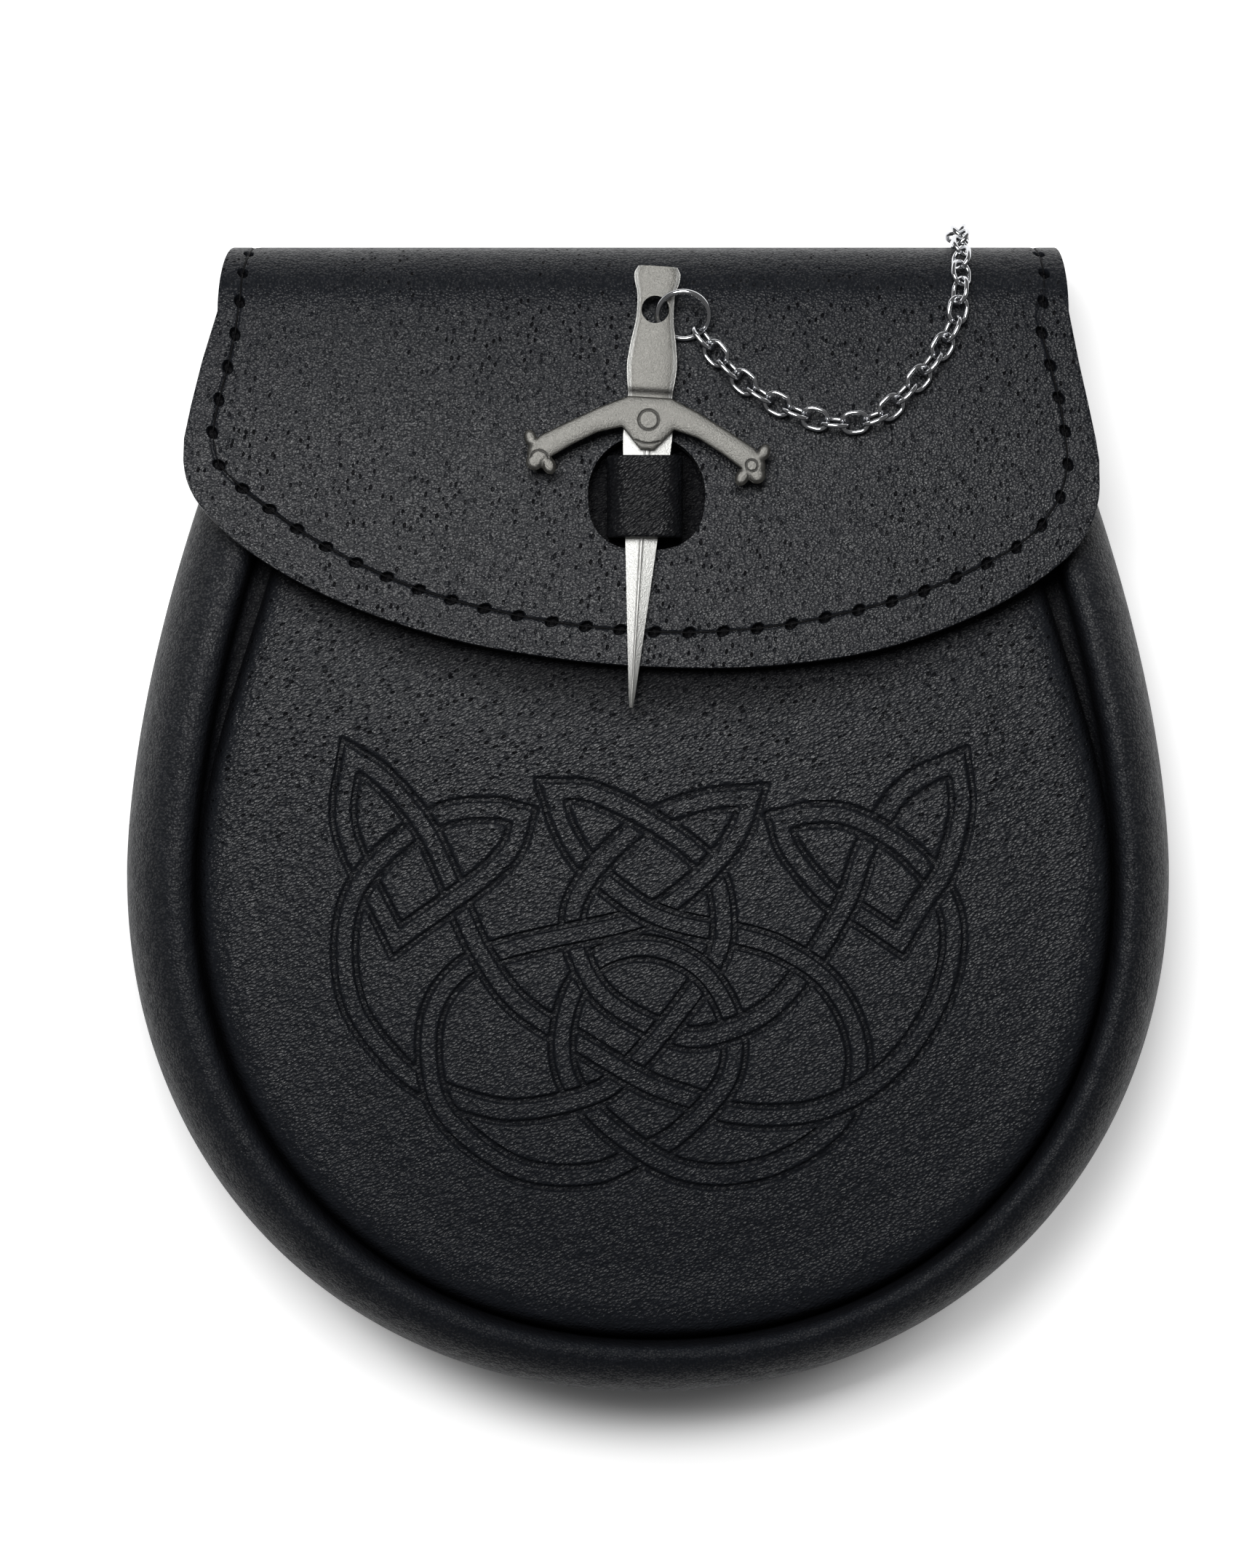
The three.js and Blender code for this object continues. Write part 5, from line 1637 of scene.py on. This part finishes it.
@dataclass
class Chain:
    """Jump ring, cable chain and the rivet that holds its far end."""

    ring_radius: float = 4.65
    ring_wire: float = 0.5
    link_length: float = 4.8
    link_width: float = 3.7
    link_wire: float = 0.43
    links: int = 28
    ring_sides: tuple[int, int] = (72, 16)
    link_sides: tuple[int, int] = (28, 12)
    rivet_profile: tuple[tuple[float, float], ...] = (
        (0, 0), (1.9, 0), (1.9, 0.35), (1.75, 0.5), (0.8, 0.5), (0.8, 3.4), (1.9, 3.4), (1.85, 3.75),
        (1.4, 4.2), (0, 4.25))
    fold_centre: tuple[float, float] = (99.0, 15.0)

    def node_points(self, node: str) -> np.ndarray:
        """The different vertices of a CAD node, in metres."""
        return np.unique(np.round(read(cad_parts[node].data.vertices, "co", 3), 7), axis=0)

    def node_frame(self, node: str) -> Matrix:
        """Frame of a wire node: its middle, its long axis, its width and its flat side.

        Args:
            node: The CAD node.

        Returns:
            The frame, in metres.
        """
        points = self.node_points(node)
        middle = points.mean(0)
        axes = np.linalg.svd(points - middle)[2]
        long_axis, width = Vector(axes[0]), Vector(axes[1])
        up = long_axis.cross(width)
        turn = Matrix((long_axis, width, up)).transposed().to_4x4()
        return Matrix.Translation(Vector(middle)) @ turn

    def wire_ring(self, name: str, radius: float, wire: float, around: int, sides: int) -> bpy.types.Object:
        """A round wire ring at the origin."""
        size = {"major_radius": radius * MM, "minor_radius": wire * MM}
        sides_of = {"major_segments": around, "minor_segments": sides}
        return start_from(bpy.ops.mesh.primitive_torus_add, name, **size, **sides_of)

    def build_ring(self) -> bpy.types.Object:
        """Makes the jump ring.

        Returns:
            The closed ring.
        """
        obj = self.wire_ring("jump_ring_wire", self.ring_radius, self.ring_wire, *self.ring_sides)
        obj.data.transform(self.node_frame("jump_ring"))
        shade(obj, 60)
        return obj

    def build_links(self) -> list[bpy.types.Object]:
        """Makes one link and copies it to every place in the chain.

        Returns:
            The links, in order.
        """
        bend = self.link_width / 2
        model = self.wire_ring("link_model", bend, self.link_wire, *self.link_sides)
        points = vertices_mm(model)
        end = np.where(np.abs(points[:, 0]) < 0.01, 0, np.sign(points[:, 0]))
        points[:, 0] += end * (self.link_length / 2 - bend)
        place_vertices(model, points)
        shade(model, 60)
        made = []
        for i in range(self.links):
            node = f"chain_link_{i + 1:02d}"
            link = model.copy()
            link.data = model.data.copy()
            link.name = f"{node}_wire"
            link.data.transform(self.node_frame(node))
            bpy.context.scene.collection.objects.link(link)
            made.append(link)
        bpy.data.objects.remove(model)
        return made

    def build_rivet(self) -> bpy.types.Object:
        """Makes the rivet behind the fold, from its node's box.

        Returns:
            The closed rivet.
        """
        obj = turned("chain_rivet_turned", list(self.rivet_profile), 32)
        points = self.node_points("chain_rivet")
        seat = np.array([0, *self.fold_centre]) * MM
        middle = points.mean(0)
        out = unit((middle - seat) * (0, 1, 1))
        reach = ((points - seat) @ out).min()
        base = Vector((middle[0], *(seat + out * reach)[1:]))
        turn = UP.rotation_difference(Vector(out)).to_matrix().to_4x4()
        obj.data.transform(Matrix.Translation(base) @ turn)
        shade(obj, 35)
        return obj

    def dress(self, plated: bpy.types.Material) -> None:
        """Builds the chain's pieces and dresses them."""
        settle(self.build_ring(), Slot.CHAIN, plated, "jump_ring")
        for i, link in enumerate(self.build_links()):
            settle(link, Slot.CHAIN, plated, f"chain_link_{i + 1:02d}")
        settle(self.build_rivet(), Slot.CHAIN, plated, "chain_rivet")


@dataclass
class Studio:
    """White table, soft light from the top of the picture, and the camera straight above.

    The table glows, but not near the pouch, where the glow's falloff is a painted contact shadow.
    """

    camera_x: float = -4.7
    camera_y: float = 15.9
    camera_z: float = 1000.0
    focal_px: float = 7402.0
    image_long_px: float = 2156.0
    sensor: float = 36.0
    floor_size: float = 6.0
    floor_glow: float = 0.4
    painted_shadow_middle: tuple[float, float] = (1.0, -30.0)
    painted_shadow_core: float = 67.0
    painted_shadow_reach: float = 80.0
    room_light: float = 0.11
    key_place: tuple[float, float, float] = (-0.11, 0.34, 0.85)
    key_size: tuple[float, float] = (0.5, 0.36)
    key_target: tuple[float, float, float] = (0.0, 0.01, 0.02)
    key_power: float = 8.2

    def add_camera(self) -> None:
        """Adds the camera at the photograph's viewing angle."""
        data = bpy.data.cameras.new("camera")
        data.sensor_width = self.sensor
        data.lens = self.focal_px / self.image_long_px * self.sensor
        data.clip_start = 0.05
        data.clip_end = 20
        camera = bpy.data.objects.new("camera", data)
        camera.location = (self.camera_x * MM, self.camera_y * MM, self.camera_z * MM)
        bpy.context.scene.collection.objects.link(camera)
        bpy.context.scene.camera = camera

    def add_floor(self) -> None:
        """Adds the pale floor that the pouch lies on, with a painted contact shadow where its glow fades."""
        floor = start_from(bpy.ops.mesh.primitive_plane_add, "floor", size=self.floor_size)
        material, tree, shader = new_material("floor_glow_painted_shadow")
        shader.inputs["Base Color"].default_value = linear("f8f8f8")
        shader.inputs["Roughness"].default_value = 0.9
        shader.inputs["Specular IOR Level"].default_value = 0.0
        shader.inputs["Emission Color"].default_value = (1, 1, 1, 1)
        # The glow fades near the pouch into a painted contact shadow.
        place = add_node(tree, "ShaderNodeTexCoord").outputs["Object"]
        middle = {0: place, 1: (self.painted_shadow_middle[0] * MM, self.painted_shadow_middle[1] * MM, 0)}
        away = add_node(tree, "ShaderNodeVectorMath", middle, operation="DISTANCE").outputs["Value"]
        ends = {"Value": away, "From Min": self.painted_shadow_core * MM, "From Max": self.painted_shadow_reach * MM,
                "To Max": self.floor_glow}
        glow_with_painted_shadow = add_node(tree, "ShaderNodeMapRange", ends, interpolation_type="SMOOTHSTEP")
        tree.links.new(glow_with_painted_shadow.outputs[0], shader.inputs["Emission Strength"])
        floor.data.materials.append(material)

    def add_key(self) -> None:
        """Adds the soft rectangular light that looks at the pouch."""
        data = bpy.data.lights.new("key_softbox", "AREA")
        data.shape = "RECTANGLE"
        data.size, data.size_y = self.key_size
        data.energy = self.key_power
        light = bpy.data.objects.new("key_softbox", data)
        light.location = self.key_place
        down = Vector(self.key_target) - Vector(self.key_place)
        light.rotation_euler = down.to_track_quat("-Z", "Y").to_euler()
        bpy.context.scene.collection.objects.link(light)

    def build(self) -> None:
        """Sets up the camera, floor and lights."""
        self.add_camera()
        self.add_floor()
        world = bpy.data.worlds.new("room")
        world.use_nodes = True
        world.node_tree.nodes["Background"].inputs[0].default_value = (1, 1, 1, 1)
        world.node_tree.nodes["Background"].inputs[1].default_value = self.room_light
        bpy.context.scene.world = world
        self.add_key()
        bpy.context.scene.view_settings.view_transform = "Standard"


def main() -> None:
    """Builds the pouch piece by piece."""
    logging.basicConfig(level=logging.INFO, format="%(name)s %(message)s")
    Studio().build()
    # Smooth glazed hide: soft creases and no open pores; its sheen is painted weaker towards the bottom and
    # stronger higher up.
    body = LeatherFinish("smooth_hide", roughness=0.5, sheen=0.29, crease_mm=3.4, crease_depth=0.7,
                         pore_amount=0.0, painted_sheen_fall=(-95.0, 0.35, 30.0, 1.3)).build()
    # Pebbled hide: grain and pores lie one way, and the pores thin out towards the bottom. Its sheen is
    # painted weaker towards the bottom.
    panel_finish = LeatherFinish("pebbled_hide", grain=(0.75, 0.4), grain_turn=25.0, grain_depth=0.14,
                                 crease_depth=0.4, pore_turn=25.0, pore_fade=(-20.0, 22.0), patch_low=0.8,
                                 painted_sheen_fall=(-85.0, 0.45, 15.0, 1.15)).build()
    # Pebbled flap hide: its sheen is painted weaker near the fold.
    flap_finish = LeatherFinish("pebbled_flap_hide").build()
    # Bent strap: the grain is stretched into wrinkles.
    loop_finish = LeatherFinish("bent_strap_hide", colour="0c0c0e", worn_colour="121316", sheen=0.28,
                                grain=(0.9, 0.4), grain_turn=35.0, grain_depth=0.22,
                                pore_amount=0.0).build()
    # Thin lining: its sheen is painted weaker near the fold.
    lining = LeatherFinish("thin_lining_hide", colour="0b0b0c", worn_colour="0f0f11",
                           pore_amount=0.0).build()
    thread = ThreadFinish().build()
    # Tumbled nickel: grey and finely uneven, brighter on its edges and blade. Its colours are darker
    # than nickel's usual one, so that it is as light as in the photo.
    cast = MetalFinish("tumbled_nickel", "757470", 0.49, 0.3, 0.1, "c1c1be").build()
    # Chrome on drawn wire: nearly a mirror.
    plated = MetalFinish("bright_chrome", "d2d3d6", 0.14, 0.6, 0.004).build()
    BackPanel().dress(body)
    Gusset().dress(body)
    panel = FrontPanel()
    flap = Flap()
    panel.dress(np.array(flap.lower_edge), panel_finish)
    flap.dress(flap_finish, lining, thread)
    pin = DirkPin()
    pin.dress(cast)
    ClosureLoop().dress(pin, panel, loop_finish)
    Chain().dress(plated)


if __name__ == "__main__":
    main()
